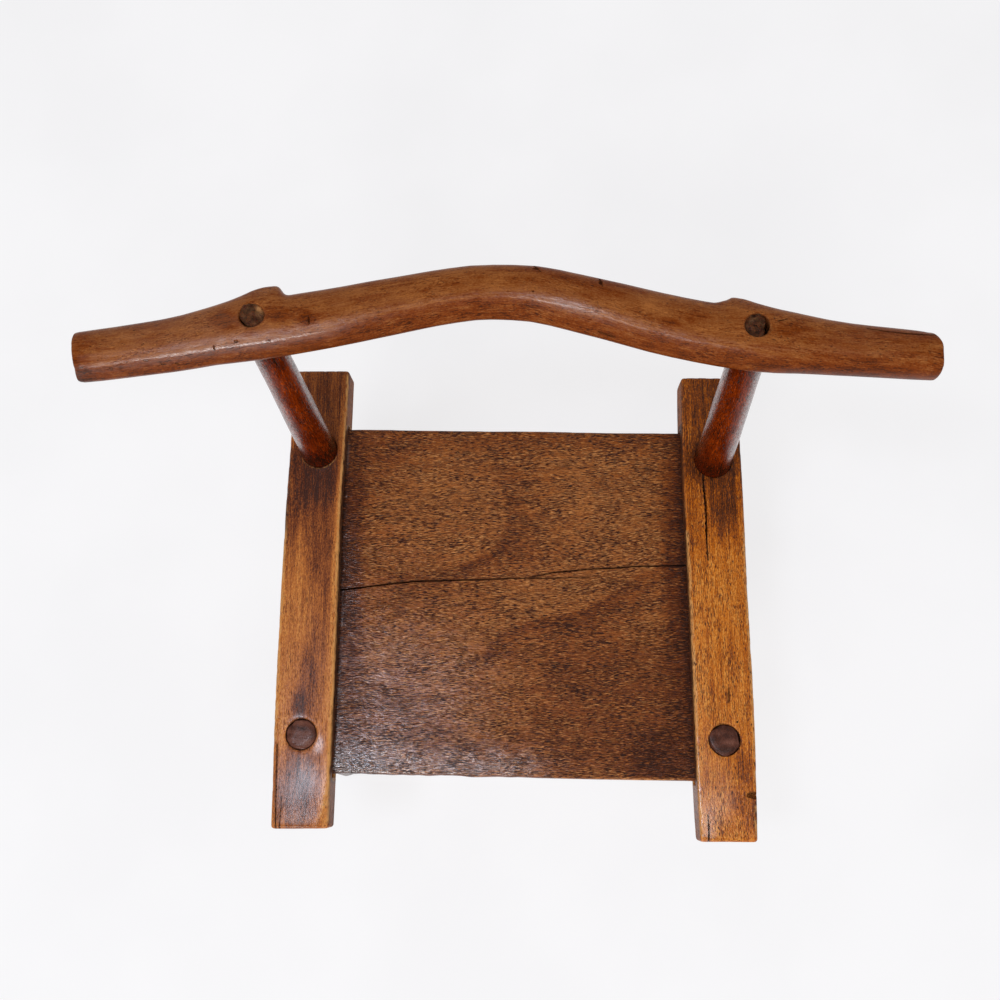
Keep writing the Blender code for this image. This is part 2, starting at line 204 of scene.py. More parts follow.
def loft(rings):
    """A closed mesh through rings of equally many points, with flat ends."""
    bm = bmesh.new()
    rows = [[bm.verts.new(point) for point in ring] for ring in rings]
    count = len(rows[0])
    for row, following in zip(rows, rows[1:]):
        for i in range(count):
            j = (i + 1) % count
            bm.faces.new((row[i], row[j], following[j], following[i]))
    bm.faces.new(rows[0][::-1])
    bm.faces.new(rows[-1])
    bmesh.ops.recalc_face_normals(bm, faces=bm.faces)
    return object_from(bm, "cutter")


def top_heights(piece, places):
    """The height of a piece's top under each (x, y). Places beside it take their neighbour's height."""
    heights = np.full(len(places), np.nan)
    for i, (x, y) in enumerate(places):
        hit, place, _, _ = piece.ray_cast(Vector((x, y, 1.0)), Vector((0, 0, -1)))
        if hit:
            heights[i] = place.z
    order = np.arange(len(places))
    known = ~np.isnan(heights)
    return np.interp(order, order[known], heights[known])


SPLIT_STEP = 0.001
SPLIT_JAG_LENGTH = 0.0022
SPLIT_RISE = 0.004


def split(piece, knots, depth, jag=0.00035):
    """A wedge that opens a split in a piece's top, ragged by jag. knots are (x, y, width) along it."""
    knots = np.array(knots)
    runs = np.concatenate([[0], np.cumsum(np.linalg.norm(np.diff(knots[:, :2], axis=0), axis=1))])
    places = np.linspace(0, runs[-1], max(int(runs[-1] / SPLIT_STEP), 4))
    line = np.stack([np.interp(places, runs, knots[:, i]) for i in range(3)], axis=1)
    along = np.gradient(line[:, :2], axis=0)
    along /= np.linalg.norm(along, axis=1)[:, None]
    heights = top_heights(piece, line[:, :2])
    rings = []
    for (x, y, width), (ax, ay), height in zip(line, along, heights):
        place = Vector((x, y, 0)) / SPLIT_JAG_LENGTH
        left = width / 2 + jag * noise.noise(place + Vector((0, 0, 0.5)))
        right = width / 2 + jag * noise.noise(place + Vector((0, 0, 7.5)))
        foot = width / 8
        left, right = max(left, width / 4), max(right, width / 4)
        rings.append([
            Vector((x - ay * left, y + ax * left, height + SPLIT_RISE)),
            Vector((x + ay * right, y - ax * right, height + SPLIT_RISE)),
            Vector((x + ay * foot, y - ax * foot, height - depth)),
            Vector((x - ay * foot, y + ax * foot, height - depth)),
        ])
    return loft(rings)


PIT_RINGS = 7
PIT_SIDES = 14


def pit(centre, radii, shift, jag=0.25):
    """A lumpy egg-shaped cutter for a chip, nick or worm hole."""
    rings = []
    for i in range(PIT_RINGS):
        lift = math.pi * (i + 0.5) / PIT_RINGS
        ring = []
        for j in range(PIT_SIDES):
            turn = 2 * math.pi * j / PIT_SIDES
            way = Vector((math.sin(lift) * math.cos(turn), math.sin(lift) * math.sin(turn), math.cos(lift)))
            lump = 1 + jag * noise.noise(way * 1.7 + Vector((shift, 0, 0)))
            ring.append(Vector(centre) + Vector(way[k] * radii[k] * lump for k in range(3)))
        rings.append(ring)
    return loft(rings)


def cut_away(piece, cutters):
    for cutter in cutters:
        cut = piece.modifiers.new("cut", "BOOLEAN")
        cut.operation = "DIFFERENCE"
        cut.solver = "MANIFOLD"
        cut.object = cutter
    apply_modifiers(piece)
    for cutter in cutters:
        mesh = cutter.data
        bpy.data.objects.remove(cutter)
        bpy.data.meshes.remove(mesh)


# Masks

def paint(piece, **masks):
    """Stores masks on a piece's points, each with one value or one vector a point."""
    for name, values in masks.items():
        kind, field = ("FLOAT_VECTOR", "vector") if np.ndim(values) == 2 else ("FLOAT", "value")
        layer = piece.data.attributes.new(name, kind, "POINT")
        layer.data.foreach_set(field, np.ascontiguousarray(values, np.float32).ravel())


def brushed(points, ground, strokes):
    """Soft brush strokes over a ground level: (x, y, reach along x, reach along y, level)."""
    depth = np.full(len(points), float(ground))
    for x, y, reach_x, reach_y, level in strokes:
        away = ((points[:, 0] - x) / reach_x) ** 2 + ((points[:, 1] - y) / reach_y) ** 2
        depth += (level - depth) * np.exp(-away ** 1.5)
    return depth


def along_path(points, knots):
    """Each point's (share along, distance to the left) of every stretch of a bent line in plan."""
    for (ax, ay, *_), (bx, by, *_) in zip(knots, knots[1:]):
        way = np.array((bx - ax, by - ay))
        apart = points[:, :2] - (ax, ay)
        share = np.clip(apart @ way / (way @ way), 0, 1)
        off = apart - share[:, None] * way
        distance = np.linalg.norm(off, axis=1)
        yield share, np.where(way[0] * off[:, 1] >= way[1] * off[:, 0], distance, -distance)


def shaded_side(points, knots, reach, edge):
    """Shade on the left of a line, fading away from it. knots are (x, y, strength) along the line."""
    nearest = np.full(len(points), np.inf)
    shade = np.zeros(len(points))
    strengths = [knot[2] for knot in knots]
    for (share, signed), first, last in zip(along_path(points, knots), strengths, strengths[1:]):
        value = ramp(signed, -edge, edge) * np.exp(-np.maximum(signed, 0) / reach)
        nearer = np.abs(signed) < nearest
        shade[nearer] = (value * (first + share * (last - first)))[nearer]
        nearest[nearer] = np.abs(signed)[nearer]
    return shade


def to_line(points, foot, head):
    """How far each point is from the line through two places."""
    foot, way = np.array(foot), np.array(head) - np.array(foot)
    apart = points - foot
    share = apart @ way / (way @ way)
    return np.linalg.norm(apart - share[:, None] * way, axis=1)


def to_path(points, knots):
    """How far each point is, in plan, from a bent line of (x, y, ...) knots."""
    return np.min([np.abs(signed) for _, signed in along_path(points, knots)], axis=0)


FACE_SLICE = 0.008
SLICE = 0.006


def slices(values, step):
    """(the middles of even slices through the values, the slice that each value is in)."""
    low, high = values.min(), values.max()
    count = int((high - low) / step)
    index = np.clip(((values - low) / (high - low) * count).astype(int), 0, count - 1)
    return low + (np.arange(count) + 0.5) * (high - low) / count, index


def furthest(points, chosen, along, across, sign):
    """The furthest place across a piece in each slice along it, as seen from every point."""
    part = points[chosen]
    places, index = slices(part[:, along], FACE_SLICE)
    ends = np.array([sign * (sign * part[index == i, across]).max() for i in range(len(places))])
    return np.interp(points[:, along], places, ends)


EDGE_FLAT = 35.0
EDGE_SHARP = 140.0
EDGE_BLUR = 3


def edges_worn(mesh):
    """1 on the convex edges, 0 on flat wood, from how far each point stands proud of its neighbours."""
    points, normals, mean = points_of(mesh), normals_of(mesh), neighbour_mean(mesh)
    middles = np.stack([mean(points[:, i]) for i in range(3)], axis=1)
    square = (points * points).sum(1)
    spread = np.maximum(mean(square) - 2 * (points * middles).sum(1) + square, 1e-9)
    bend = 4 * (normals * (points - middles)).sum(1) / spread
    for _ in range(EDGE_BLUR):
        bend = (bend + mean(bend)) / 2
    return ramp(bend, EDGE_FLAT, EDGE_SHARP)


def nibble(piece, chips, where):
    """Chips the convex edges here and there: (wavelengths along x, y and z, depth, shift)."""
    lengths, depth, shift = chips
    points = points_of(piece.data)
    chipped = edges_worn(piece.data) * ramp(ripple(points, lengths, shift), 0.0, 0.5)
    move_points(piece.data, points - normals_of(piece.data) * (depth * chipped * where)[:, None])


def centre_line(points, axis):
    """(places along the axis, centres): the middle of the piece in even slices."""
    middles, index = slices(points[:, axis], SLICE)
    count = len(middles)
    number = np.bincount(index, minlength=count)
    centres = np.stack([np.bincount(index, points[:, i], count) / number for i in range(3)], axis=1)
    padded = np.concatenate([centres[:1], centres, centres[-1:]])
    return centres[:, axis], (padded[:-2] + padded[1:-1] + padded[2:]) / 3


def grain_along(points, axis):
    """Coordinates that follow a bent piece: its run along the grain, then across it both ways."""
    places, centres = centre_line(points, axis)
    runs = np.concatenate([[0], np.cumsum(np.linalg.norm(np.diff(centres, axis=0), axis=1))])
    others = [i for i in range(3) if i != axis]
    across = [points[:, i] - np.interp(points[:, axis], places, centres[:, i]) for i in others]
    return np.stack([np.interp(points[:, axis], places, runs)] + across, axis=1)


def around(points):
    """(angle, distance, outward direction) of each point about a standing piece's middle line."""
    out = grain_along(points, 2)[:, 1:]
    distance = np.linalg.norm(out, axis=1)
    return np.arctan2(out[:, 1], out[:, 0]), distance, out / np.maximum(distance, 1e-9)[:, None]


# Materials

def linear(red, green, blue):
    """A colour given as 0 to 255 on a screen, in linear light."""
    shares = [value / 255 for value in (red, green, blue)]
    return tuple(s / 12.92 if s <= 0.04045 else ((s + 0.055) / 1.055) ** 2.4 for s in shares) + (1.0,)


def put(tree, kind, inputs=None, **settings):
    """Adds a node, and feeds its inputs from other nodes' sockets or from plain values."""
    made = tree.nodes.new(kind)
    for name, value in settings.items():
        setattr(made, name, value)
    for key, value in (inputs or {}).items():
        if isinstance(value, bpy.types.NodeSocket):
            tree.links.new(value, made.inputs[key])
        else:
            made.inputs[key].default_value = value
    return made


def math_node(tree, operation, *values, clamp=False):
    inputs = dict(enumerate(values))
    return put(tree, "ShaderNodeMath", inputs, operation=operation, use_clamp=clamp).outputs[0]


def vector_node(tree, operation, *values):
    return put(tree, "ShaderNodeVectorMath", dict(enumerate(values)), operation=operation).outputs[0]


def eased_range(tree, value, low, high, to_low=0.0, to_high=1.0):
    inputs = {"Value": value, "From Min": low, "From Max": high, "To Min": to_low, "To Max": to_high}
    return put(tree, "ShaderNodeMapRange", inputs, interpolation_type="SMOOTHSTEP").outputs[0]


def mix_colour(tree, share, first, second):
    return put(tree, "ShaderNodeMix", {0: share, 6: first, 7: second}, data_type="RGBA").outputs[2]


def scaled(tree, value, share):
    return math_node(tree, "MULTIPLY", value, share)


def swing(tree, value, share):
    """A mask from 0 to 1 turned into a push either way."""
    return scaled(tree, math_node(tree, "SUBTRACT", value, 0.5), share)


def floats(*titles):
    return [(title, "Float") for title in titles]


def new_group(name, inputs, outputs):
    tree = bpy.data.node_groups.new(name, "ShaderNodeTree")
    for title, kind in inputs:
        tree.interface.new_socket(title, in_out="INPUT", socket_type="NodeSocket" + kind)
    for title, kind in outputs:
        tree.interface.new_socket(title, in_out="OUTPUT", socket_type="NodeSocket" + kind)
    return tree, tree.nodes.new("NodeGroupInput").outputs, tree.nodes.new("NodeGroupOutput").inputs


def stretched_noise(tree, grain, length, width, detail=2.0, shift=0.0):
    """Noise drawn out along the grain."""
    size = put(tree, "ShaderNodeCombineXYZ", {0: length, 1: width, 2: width}).outputs[0]
    offset = put(tree, "ShaderNodeCombineXYZ", {0: shift, 1: shift, 2: shift}).outputs[0]
    place = vector_node(tree, "ADD", vector_node(tree, "DIVIDE", grain, size), offset)
    return put(tree, "ShaderNodeTexNoise", {"Vector": place, "Scale": 1.0, "Detail": detail}).outputs["Fac"]


def make_dashes_group():
    """Short dashes along a grain that wanders from side to side: open pores, flecks and fibres."""
    tree, given, out = new_group(
        "short dashes",
        [("Grain", "Vector")] + floats("Length", "Width", "Amount", "Wander", "Shift"),
        floats("Dashes"),
    )
    sway = swing(tree, stretched_noise(tree, given["Grain"], 0.04, 0.02), given["Wander"])
    aside = put(tree, "ShaderNodeCombineXYZ", {1: sway}).outputs[0]
    swayed = vector_node(tree, "ADD", given["Grain"], aside)
    dashes = stretched_noise(tree, swayed, given["Length"], given["Width"], 1.0, given["Shift"])
    patches = stretched_noise(tree, given["Grain"], 0.03, 0.015, detail=1.0, shift=11.0)
    amount = math_node(tree, "ADD", given["Amount"], swing(tree, patches, 0.9))
    least = math_node(tree, "SUBTRACT", 0.70, scaled(tree, amount, 0.25))
    most = math_node(tree, "ADD", least, 0.12)
    tree.links.new(eased_range(tree, dashes, least, most), out["Dashes"])
    return tree


def make_rings_group():
    """Growth rings: each starts dark at a fairly sharp line and lightens up to the next."""
    tree, given, out = new_group(
        "growth rings",
        [("Grain", "Vector")] + floats("Rings", "Period", "Waver"),
        floats("Band"),
    )
    waver = swing(tree, stretched_noise(tree, given["Grain"], 0.06, 0.02, detail=3.0), given["Waver"])
    place = math_node(tree, "ADD", given["Rings"], waver)
    share = math_node(tree, "FRACT", math_node(tree, "DIVIDE", place, given["Period"]))
    fading = math_node(tree, "POWER", math_node(tree, "SUBTRACT", 1.0, share), 1.6)
    rising = eased_range(tree, share, 0.90, 1.0)
    tree.links.new(math_node(tree, "MAXIMUM", fading, rising), out["Band"])
    return tree


def make_ragged_group():
    """A soft mask broken up along the grain, as staining, edge wear, painted shade and painted highlights
    are.
    """
    tree, given, out = new_group(
        "ragged mask",
        [("Grain", "Vector")] + floats("Mask", "Length", "Width", "Ragged", "Shift"),
        floats("Mask"),
    )
    rough = stretched_noise(tree, given["Grain"], given["Length"], given["Width"], 5.0, given["Shift"])
    mixed = math_node(tree, "ADD", given["Mask"], swing(tree, rough, given["Ragged"]), clamp=True)
    tree.links.new(mixed, out["Mask"])
    return tree


DASHES = make_dashes_group()
RINGS = make_rings_group()
RAGGED = make_ragged_group()


def attribute(tree, name, output="Fac"):
    return put(tree, "ShaderNodeAttribute", attribute_name=name).outputs[output]


def tone_ramp(tree, depth, tones):
    made = put(tree, "ShaderNodeValToRGB", {"Fac": depth})
    stops = made.color_ramp.elements
    while len(stops) < len(tones):
        stops.new(1.0)
    for stop, (place, tone) in zip(stops, tones):
        stop.position = place
        stop.color = linear(*tone)
    return made.outputs["Color"]


def dashes_node(tree, grain, look, shift):
    length, width, amount, wander, _ = look
    return put(tree, "ShaderNodeGroup", {
        "Grain": grain, "Length": length * MM, "Width": width * MM, "Amount": amount, "Wander": wander * MM,
        "Shift": shift,
    }, node_tree=DASHES).outputs[0]


def ragged_node(tree, grain, mask, look, shift):
    length, width, ragged = look
    return put(tree, "ShaderNodeGroup", {
        "Mask": mask, "Grain": grain, "Length": length * MM, "Width": width * MM, "Ragged": ragged,
        "Shift": shift,
    }, node_tree=RAGGED).outputs[0]


def broken_mask(tree, grain, name, look, shift):
    """A painted mask, broken up along the grain."""
    mask = attribute(tree, name)
    return math_node(tree, "MULTIPLY", mask, ragged_node(tree, grain, mask, look, shift))


# The dark tone and look below are mixed in for dirt and for painted shade: on the rails' inner faces and
# inside pits and nicks.
GRIME_AND_SHADE_TONE = (30, 18, 13)
GRIME_AND_SHADE_LOOK = (4, 3, 0.5)
SPECKLE_LENGTH = 0.0018
SPECKLE_WIDTH = 0.0010
RELIEF = 0.0005


def wood(name, tones, pore_tone, worn_tone, stain, dashes, flecks, pores, fibres, speckle, rings, worn,
         gloss, coat):
    """A waxed wood. tones run from its lightest to its darkest, where staining and painted shade are
    deepest.

    dashes, flecks and pores are (length, width, amount, wander, share); the looks of the staining mask,
    which also carries painted shade and painted highlights, and of the wear mask, which also carries
    painted highlights and a painted reflection, are (length, width, ragged); fibres (length, width, share);
    speckle a share; rings (period, waver, share) or None; gloss (specular level, roughness, bump); coat
    (refraction, roughness, bump, break-up, share lost in dashes and pores) of the polish, its break-up as
    the staining mask's. Lengths, widths, wander, period and waver are in millimetres.
    """
    material = bpy.data.materials.new(name)
    material.use_nodes = True
    tree = material.node_tree
    tree.nodes.clear()
    grain = attribute(tree, "grain", "Vector")
    dark = dashes_node(tree, grain, dashes, 2.3)
    light = dashes_node(tree, grain, flecks, 7.9)
    holes = dashes_node(tree, grain, pores, 13.1)
    streak = stretched_noise(tree, grain, fibres[0] * MM, fibres[1] * MM, detail=3.0)
    fine = stretched_noise(tree, grain, SPECKLE_LENGTH, SPECKLE_WIDTH, detail=1.0, shift=17.3)
    pushes = [
        scaled(tree, dark, dashes[4]), scaled(tree, light, -flecks[4]),
        swing(tree, streak, fibres[2]), swing(tree, fine, speckle),
    ]
    if rings:
        band = put(tree, "ShaderNodeGroup", {
            "Rings": attribute(tree, "rings"), "Grain": grain, "Period": rings[0] * MM,
            "Waver": rings[1] * MM,
        }, node_tree=RINGS).outputs[0]
        pushes.append(swing(tree, band, rings[2]))
    # The staining mask sets the depth of tone; it also carries painted shade and painted highlights.
    depth = ragged_node(tree, grain, attribute(tree, "stain"), stain, 3.7)
    for push in pushes:
        depth = math_node(tree, "ADD", depth, push)
    colour = tone_ramp(tree, depth, tones)
    # The pale wear tone also paints highlights and a reflection; the dark tone mixed in below also paints
    # shade.
    colour = mix_colour(tree, broken_mask(tree, grain, "worn", worn, 5.9), colour, linear(*worn_tone))
    colour = mix_colour(tree, scaled(tree, holes, pores[4]), colour, linear(*pore_tone))
    grime = broken_mask(tree, grain, "grime", GRIME_AND_SHADE_LOOK, 9.3)
    colour = mix_colour(tree, grime, colour, linear(*GRIME_AND_SHADE_TONE))
    rough = math_node(tree, "ADD", gloss[1], scaled(tree, holes, 0.2))
    rough = math_node(tree, "ADD", rough, swing(tree, streak, 0.15))
    rough = math_node(tree, "ADD", rough, scaled(tree, grime, 1.1))
    ribs = scaled(tree, streak, 0.8)
    height = math_node(tree, "SUBTRACT", math_node(tree, "SUBTRACT", ribs, holes), scaled(tree, dark, 0.6))
    waxed = math_node(tree, "ADD", ribs, fine)
    bumped, coated = (
        put(tree, "ShaderNodeBump", {"Strength": strength, "Distance": RELIEF, "Height": relief}).outputs[0]
        for strength, relief in ((gloss[2], height), (coat[2], waxed))
    )
    polish = broken_mask(tree, grain, "polish", coat[3], 15.7)
    bare = scaled(tree, math_node(tree, "MAXIMUM", dark, holes), coat[4])
    polish = math_node(tree, "MULTIPLY", polish, math_node(tree, "SUBTRACT", 1.0, bare))
    shader = put(tree, "ShaderNodeBsdfPrincipled", {
        "Base Color": colour, "Roughness": rough, "Normal": bumped, "Specular IOR Level": gloss[0],
        "Coat Weight": polish, "Coat IOR": coat[0], "Coat Roughness": coat[1], "Coat Normal": coated,
    })
    ending = put(tree, "ShaderNodeOutputMaterial")
    tree.links.new(shader.outputs[0], ending.inputs["Surface"])
    return material


def finish_piece(piece, node, material):
    piece.data.materials.clear()
    piece.data.materials.append(material)
    piece.data.shade_smooth()
    piece.data.set_sharp_from_angle(angle=SHARP_ANGLE)
    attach(piece, "root")
    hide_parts(node)


# Seat

SEAT_RIPPLES = (((0.11, 0.06, 0.06), 0.0006, 0.3), ((0.035, 0.02, 0.03), 0.00018, 4.1))
SCALLOPS = ((0.015, 0.015, 0.02), 0.0012, 9.2)
SCALLOP_REACH = 0.035
SCALLOP_END = 0.05
FRONT_DROP = 0.0022
FRONT_REACH = 0.025
GRAIN_FLOW = ((0.075, 0.05, 0.05), 0.005, 2.7)
LONG_SPLIT = metres(
    (-176.5, 3.7, 2.6), (-171.4, 4.7, 2.5), (-134.4, 9.2, 2.3), (-113.9, 11.7, 2), (-90.3, 13.6, 2.3),
    (-71.8, 13.7, 2), (-21.5, 15, 1.4), (10.3, 15.8, 0.8), (43, 15.7, 0.6), (81.9, 16.8, 0.2),
)
SECOND_SPLIT = metres(
    (21.6, 17.2, 0.2), (40.5, 20.6, 0.9), (45.8, 21.9, 1.6), (54.9, 22.5, 2.6), (64, 23.3, 1.5),
    (82, 25, 1.4), (108.6, 26.1, 1.4), (134.2, 27.7, 1.6), (185.2, 28.4, 1.8),
)
SPLIT_DEPTH = 0.009
# A nick behind the front edge: its place along x and from the edge, and its radii
NICK_PLACE = (-0.160, 0.009)
NICK_RADII = (0.0050, 0.0026, 0.0018)
# The tree's figure: lines with a darker left side, (x, y, strength)
UPPER_ARCH = metres(
    (-26, 125.8, 0), (-11.3, 117, 0.3), (-2.9, 96.5, 0.6), (-2.1, 74.3, 0.8), (-7.6, 57.1, 1),
    (-20.8, 42.5, 1), (-44.8, 30.4, 0.9), (-83.2, 22.1, 0.8), (-123.8, 19, 0.6), (-164.3, 9.2, 0.4),
    plain=1,
)
LOWER_ARCH = metres(
    (155.7, 29.3, 0.5), (131.4, 17.4, 0.9), (102.5, -2.7, 1.2), (73.9, -18.2, 1.3), (54.8, -23, 1.2),
    (26.4, -26.3, 1.1), (5, -34.5, 1.1), (-11.2, -42.8, 1.2), (-20.7, -53.1, 1.3), (-25.3, -65, 1),
    (-25.7, -76.6, 0),
    plain=1,
)
FRONT_ARCH = metres((59.4, -55.4, 0), (47.1, -67.4, 0.7), (34.9, -86.2, 0.5), (30, -100, 0), plain=1)
# The lines of the figure: (line, reach of its shade, softness, strength)
FIGURE = (
    (UPPER_ARCH, 0.028, 0.003, 0.27), (LOWER_ARCH, 0.017, 0.003, 0.27), (FRONT_ARCH, 0.030, 0.004, 0.135),
)
# Strokes of staining, scuff marks, painted highlights and polish, as brushed() takes them, over a ground
# level
SEAT_GROUND = 0.42
SEAT_STAINS_AND_HIGHLIGHT = metres(
    (-140, 160, 40, 34, 0.66), (-160, 103, 18, 18, 0.78), (-50, 168, 80, 16, 0.54),
    (100, 168, 110, 16, 0.56), (-60, 90, 80, 45, 0.37), (75, 90, 75, 60, 0.36), (-30, -20, 70, 45, 0.36),
    (20, 5, 80, 22, 0.32), (8, -78, 26, 26, 0.38), (110, -105, 90, 60, 0.6), (-130, -135, 60, 50, 0.66),
    (150, -165, 45, 28, 0.9), (-50, -168, 90, 20, 0.66), (-155, -168, 30, 22, 0.84),
    # Strokes near x of plus and minus 170 to 180 mm darken the seat in narrow bands along both rails.
    (60, -150, 50, 30, 0.6), (172, 60, 12, 110, 0.74), (172, -60, 16, 130, 0.74), (180, 0, 6, 250, 0.98),
    (-166, 10, 14, 190, 0.82), (-164, -70, 14, 60, 0.75), (-173, 0, 5, 250, 0.98),
    # The last stroke lightens a thin line along the front edge at the right: a painted highlight on the lit
    # arris.
    (130, -184.5, 60, 2.2, 0.1),
    plain=1,
)
SEAT_SCUFFS_AND_HIGHLIGHT = metres(
    # The first stroke is a painted highlight, a pale lit strip on the back-left edge by the left rail; the
    # rest are pale specks.
    (-170, 150, 2, 20, 0.5), (-170.6, 104.1, 1.3, 1.3, 1), (-170.1, -31.3, 1.3, 2, 1),
    (-57.2, -96.9, 1.2, 2.2, 1),
    plain=1,
)
SEAT_POLISH = metres(
    (-120, -110, 120, 100, 0.56), (-140, -174, 70, 26, 1), (-30, -172, 80, 24, 0.76),
    (-165, -20, 16, 110, 0.36),
    plain=1,
)
SEAT_WOOD = wood(
    "dark waxed plank",
    tones=((0.0, (200, 136, 78)), (0.3, (162, 98, 48)), (0.5, (136, 72, 28)), (0.75, (95, 42, 13)),
           (1.0, (46, 17, 4))),
    pore_tone=(44, 15, 3), worn_tone=(165, 140, 130), stain=(50, 12, 0.3), dashes=(5.6, 0.54, 0.8, 5, 0.78),
    flecks=(6, 0.56, 0.65, 5, 0.42), pores=(5, 0.5, 0.6, 5, 0.7), fibres=(18, 0.8, 0.66), speckle=0.26,
    rings=None, worn=(10, 4, 1.2), gloss=(0.16, 0.28, 0.6), coat=(2.1, 0.13, 0.6, (9, 2.5, 1.7), 0.9),
)


def make_seat():
    plank = blank("seat_board", "seat_plank", SEAT_VOXEL)
    ease(plank, FLAT_EASE)
    low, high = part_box("seat_board")
    points = points_of(plank.data)
    x, y, _ = points.T
    clear = inside(x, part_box("left_rail")[1].x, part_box("right_rail")[0].x, 0.01)
    hew(plank, SEAT_RIPPLES, clear)
    front_edge = np.exp(-((y - low.y) / SCALLOP_REACH) ** 2) * ramp(-x, -SCALLOP_END, 0.0)
    hew(plank, (SCALLOPS,), clear * front_edge)
    points = points_of(plank.data)
    x, y, z = points.T
    drop = FRONT_DROP * np.clip((low.y + FRONT_REACH - y) / FRONT_REACH, 0, 1) ** 2
    drop *= 0.3 + 0.7 * ramp(-x, -0.06, 0.04)
    z -= drop * ramp(z, high.z - 0.010, high.z - 0.003)
    move_points(plank.data, points)
    cutters = [split(plank, knots, SPLIT_DEPTH) for knots in (LONG_SPLIT, SECOND_SPLIT)]
    cutters.append(pit((NICK_PLACE[0], low.y + NICK_PLACE[1], high.z), NICK_RADII, 2.0))
    cut_away(plank, cutters)
    points = points_of(plank.data)
    grain = points.copy()
    grain[:, 1] += GRAIN_FLOW[1] * ripple(points, GRAIN_FLOW[0], GRAIN_FLOW[2])
    figure = sum(share * shaded_side(points, knots, reach, edge) for knots, reach, edge, share in FIGURE)
    scuffs_and_highlight = brushed(points, 0.0, SEAT_SCUFFS_AND_HIGHLIGHT) * ramp(points[:, 2], high.z - 0.004, high.z - 0.002)
    crack = np.minimum(to_path(points, LONG_SPLIT), to_path(points, SECOND_SPLIT))
    paint(plank, grain=grain, polish=brushed(points, 0.0, SEAT_POLISH),
          stain=brushed(points, SEAT_GROUND, SEAT_STAINS_AND_HIGHLIGHT) + figure, worn=scuffs_and_highlight,
          grime=0.8 * (1 - ramp(crack, 0.0004, 0.0022)))
    finish_piece(plank, "seat_board", SEAT_WOOD)


# Rails

EDGE_CHIPS = ((0.004, 0.009, 0.004), 0.0003, 2.9)
RAIL_RIPPLES = (((0.05, 0.15, 0.05), 0.0006, 1.7), ((0.018, 0.05, 0.018), 0.0002, 6.3))
RAIL_GROUND = 0.32
LEFT_RAIL_STAINS_AND_HIGHLIGHT = metres(
    (-200, 215, 45, 45, 0.74), (-200, 120, 45, 50, 1), (-226, 90, 11, 55, 0.84), (-192, 50, 17, 45, 0.74),
    (-185, -8, 9, 30, 0.7), (-188, -45, 10, 30, 0.56), (-198, -88, 12, 40, 0.74), (-207, -113, 10, 16, 1),
    (-203, -193, 24, 42, 0.84), (-177, -195, 6, 40, 0.15), (-222, -50, 10, 90, 0.26),
    # The last stroke lightens the inner arris along its whole length: a painted highlight.
    (-176, 0, 4.5, 170, 0.12),
    plain=1,
)
RIGHT_RAIL_STAINS = metres(
    (212, 200, 45, 50, 0.76), (212, 132, 45, 33, 0.95), (188, 80, 9, 40, 0.58), (202, 56, 30, 16, 0.5),
    (222, 85, 17, 30, 0.84), (237, 110, 12, 45, 1), (238, 0, 6, 150, 0.5), (227, -172, 12, 20, 0.62),
    (219, -205, 8, 12, 0.62), (236, -220, 10, 18, 0.74), (187, -85, 8, 30, 0.22),
    (191, -195, 8, 60, 0.36),
    plain=1,
)
RAIL_JAG = 0.0020
BORE_RAGGED = 0.0022
LEFT_RAIL_SPLITS = (
    opened(3, (-227.6, -150, 0.2), (-227, -175, 0.4), (-226.8, -203, 0.6), (-225.8, -233, 0.7)),
    opened(2, (-221.3, -200, 0.2), (-221.5, -212, 0.4), (-222.5, -233, 0.5)),
)
RIGHT_RAIL_SPLITS = (
    opened(
        8, (200.3, 120, 1), (200.5, 108.8, 2.4), (201.2, 100.3, 3.4), (201.8, 83.5, 2.4),
        (201.6, 64.6, 2.8), (201.3, 47, 1.4), (201.6, 31.5, 0.4),
    ),
    opened(5, (190.5, -216.5, 0.3), (191.1, -228.6, 2), (190.3, -245, 2.2)),
    opened(4, (216.3, -96.5, 0.3), (216, -103, 1.2), (215.5, -110.5, 0.3)),
)
RIGHT_RAIL_PITS = (
    ((0.2228, -0.1293, 0.285), (0.0010, 0.0010, 0.004), 1.0),
    ((0.2362, -0.1985, 0.2845), (0.0078, 0.0034, 0.0044), 4.0),
    ((0.1800, 0.0690, 0.285), (0.0016, 0.0050, 0.0016), 5.0),
    ((0.2395, -0.1700, 0.285), (0.0018, 0.0040, 0.0018), 7.0),
    ((0.2385, -0.2180, 0.285), (0.0030, 0.0022, 0.0020), 8.0),
)
LEFT_RAIL_POLISH = metres(
    (-203, -70, 30, 100, 0.3), (-200, 110, 30, 30, 0.5), (-203, -197, 27, 45, 0.44),
    (-192, -219, 10, 7, 0.62), (-210, -222, 14, 8, 0.55), (-197, -180, 14, 14, 0.52),
    (-180, -200, 7, 35, 0.5), (-187, -150, 6, 10, 0.9), (-209, -125, 7, 6, 0.5),
    plain=1,
)
RIGHT_RAIL_POLISH = metres(
    (190, -80, 13, 110, 0.42), (190, -200, 10, 60, 1), (203, -192, 18, 36, 0.74), (208, 205, 30, 30, 0.2),
    plain=1,
)
RAIL_TOP_BAND = 0.012
GROOVE_REACH = 0.0092
GROOVE_DEPTH = 0.026
BEND = 0.0024
BEND_REACH = 0.06
CHAMFER_START = -0.183
CHAMFER_SLOPE = 0.42
RUBBED_START = 0.05
OUTER_RUBBED = 0.2


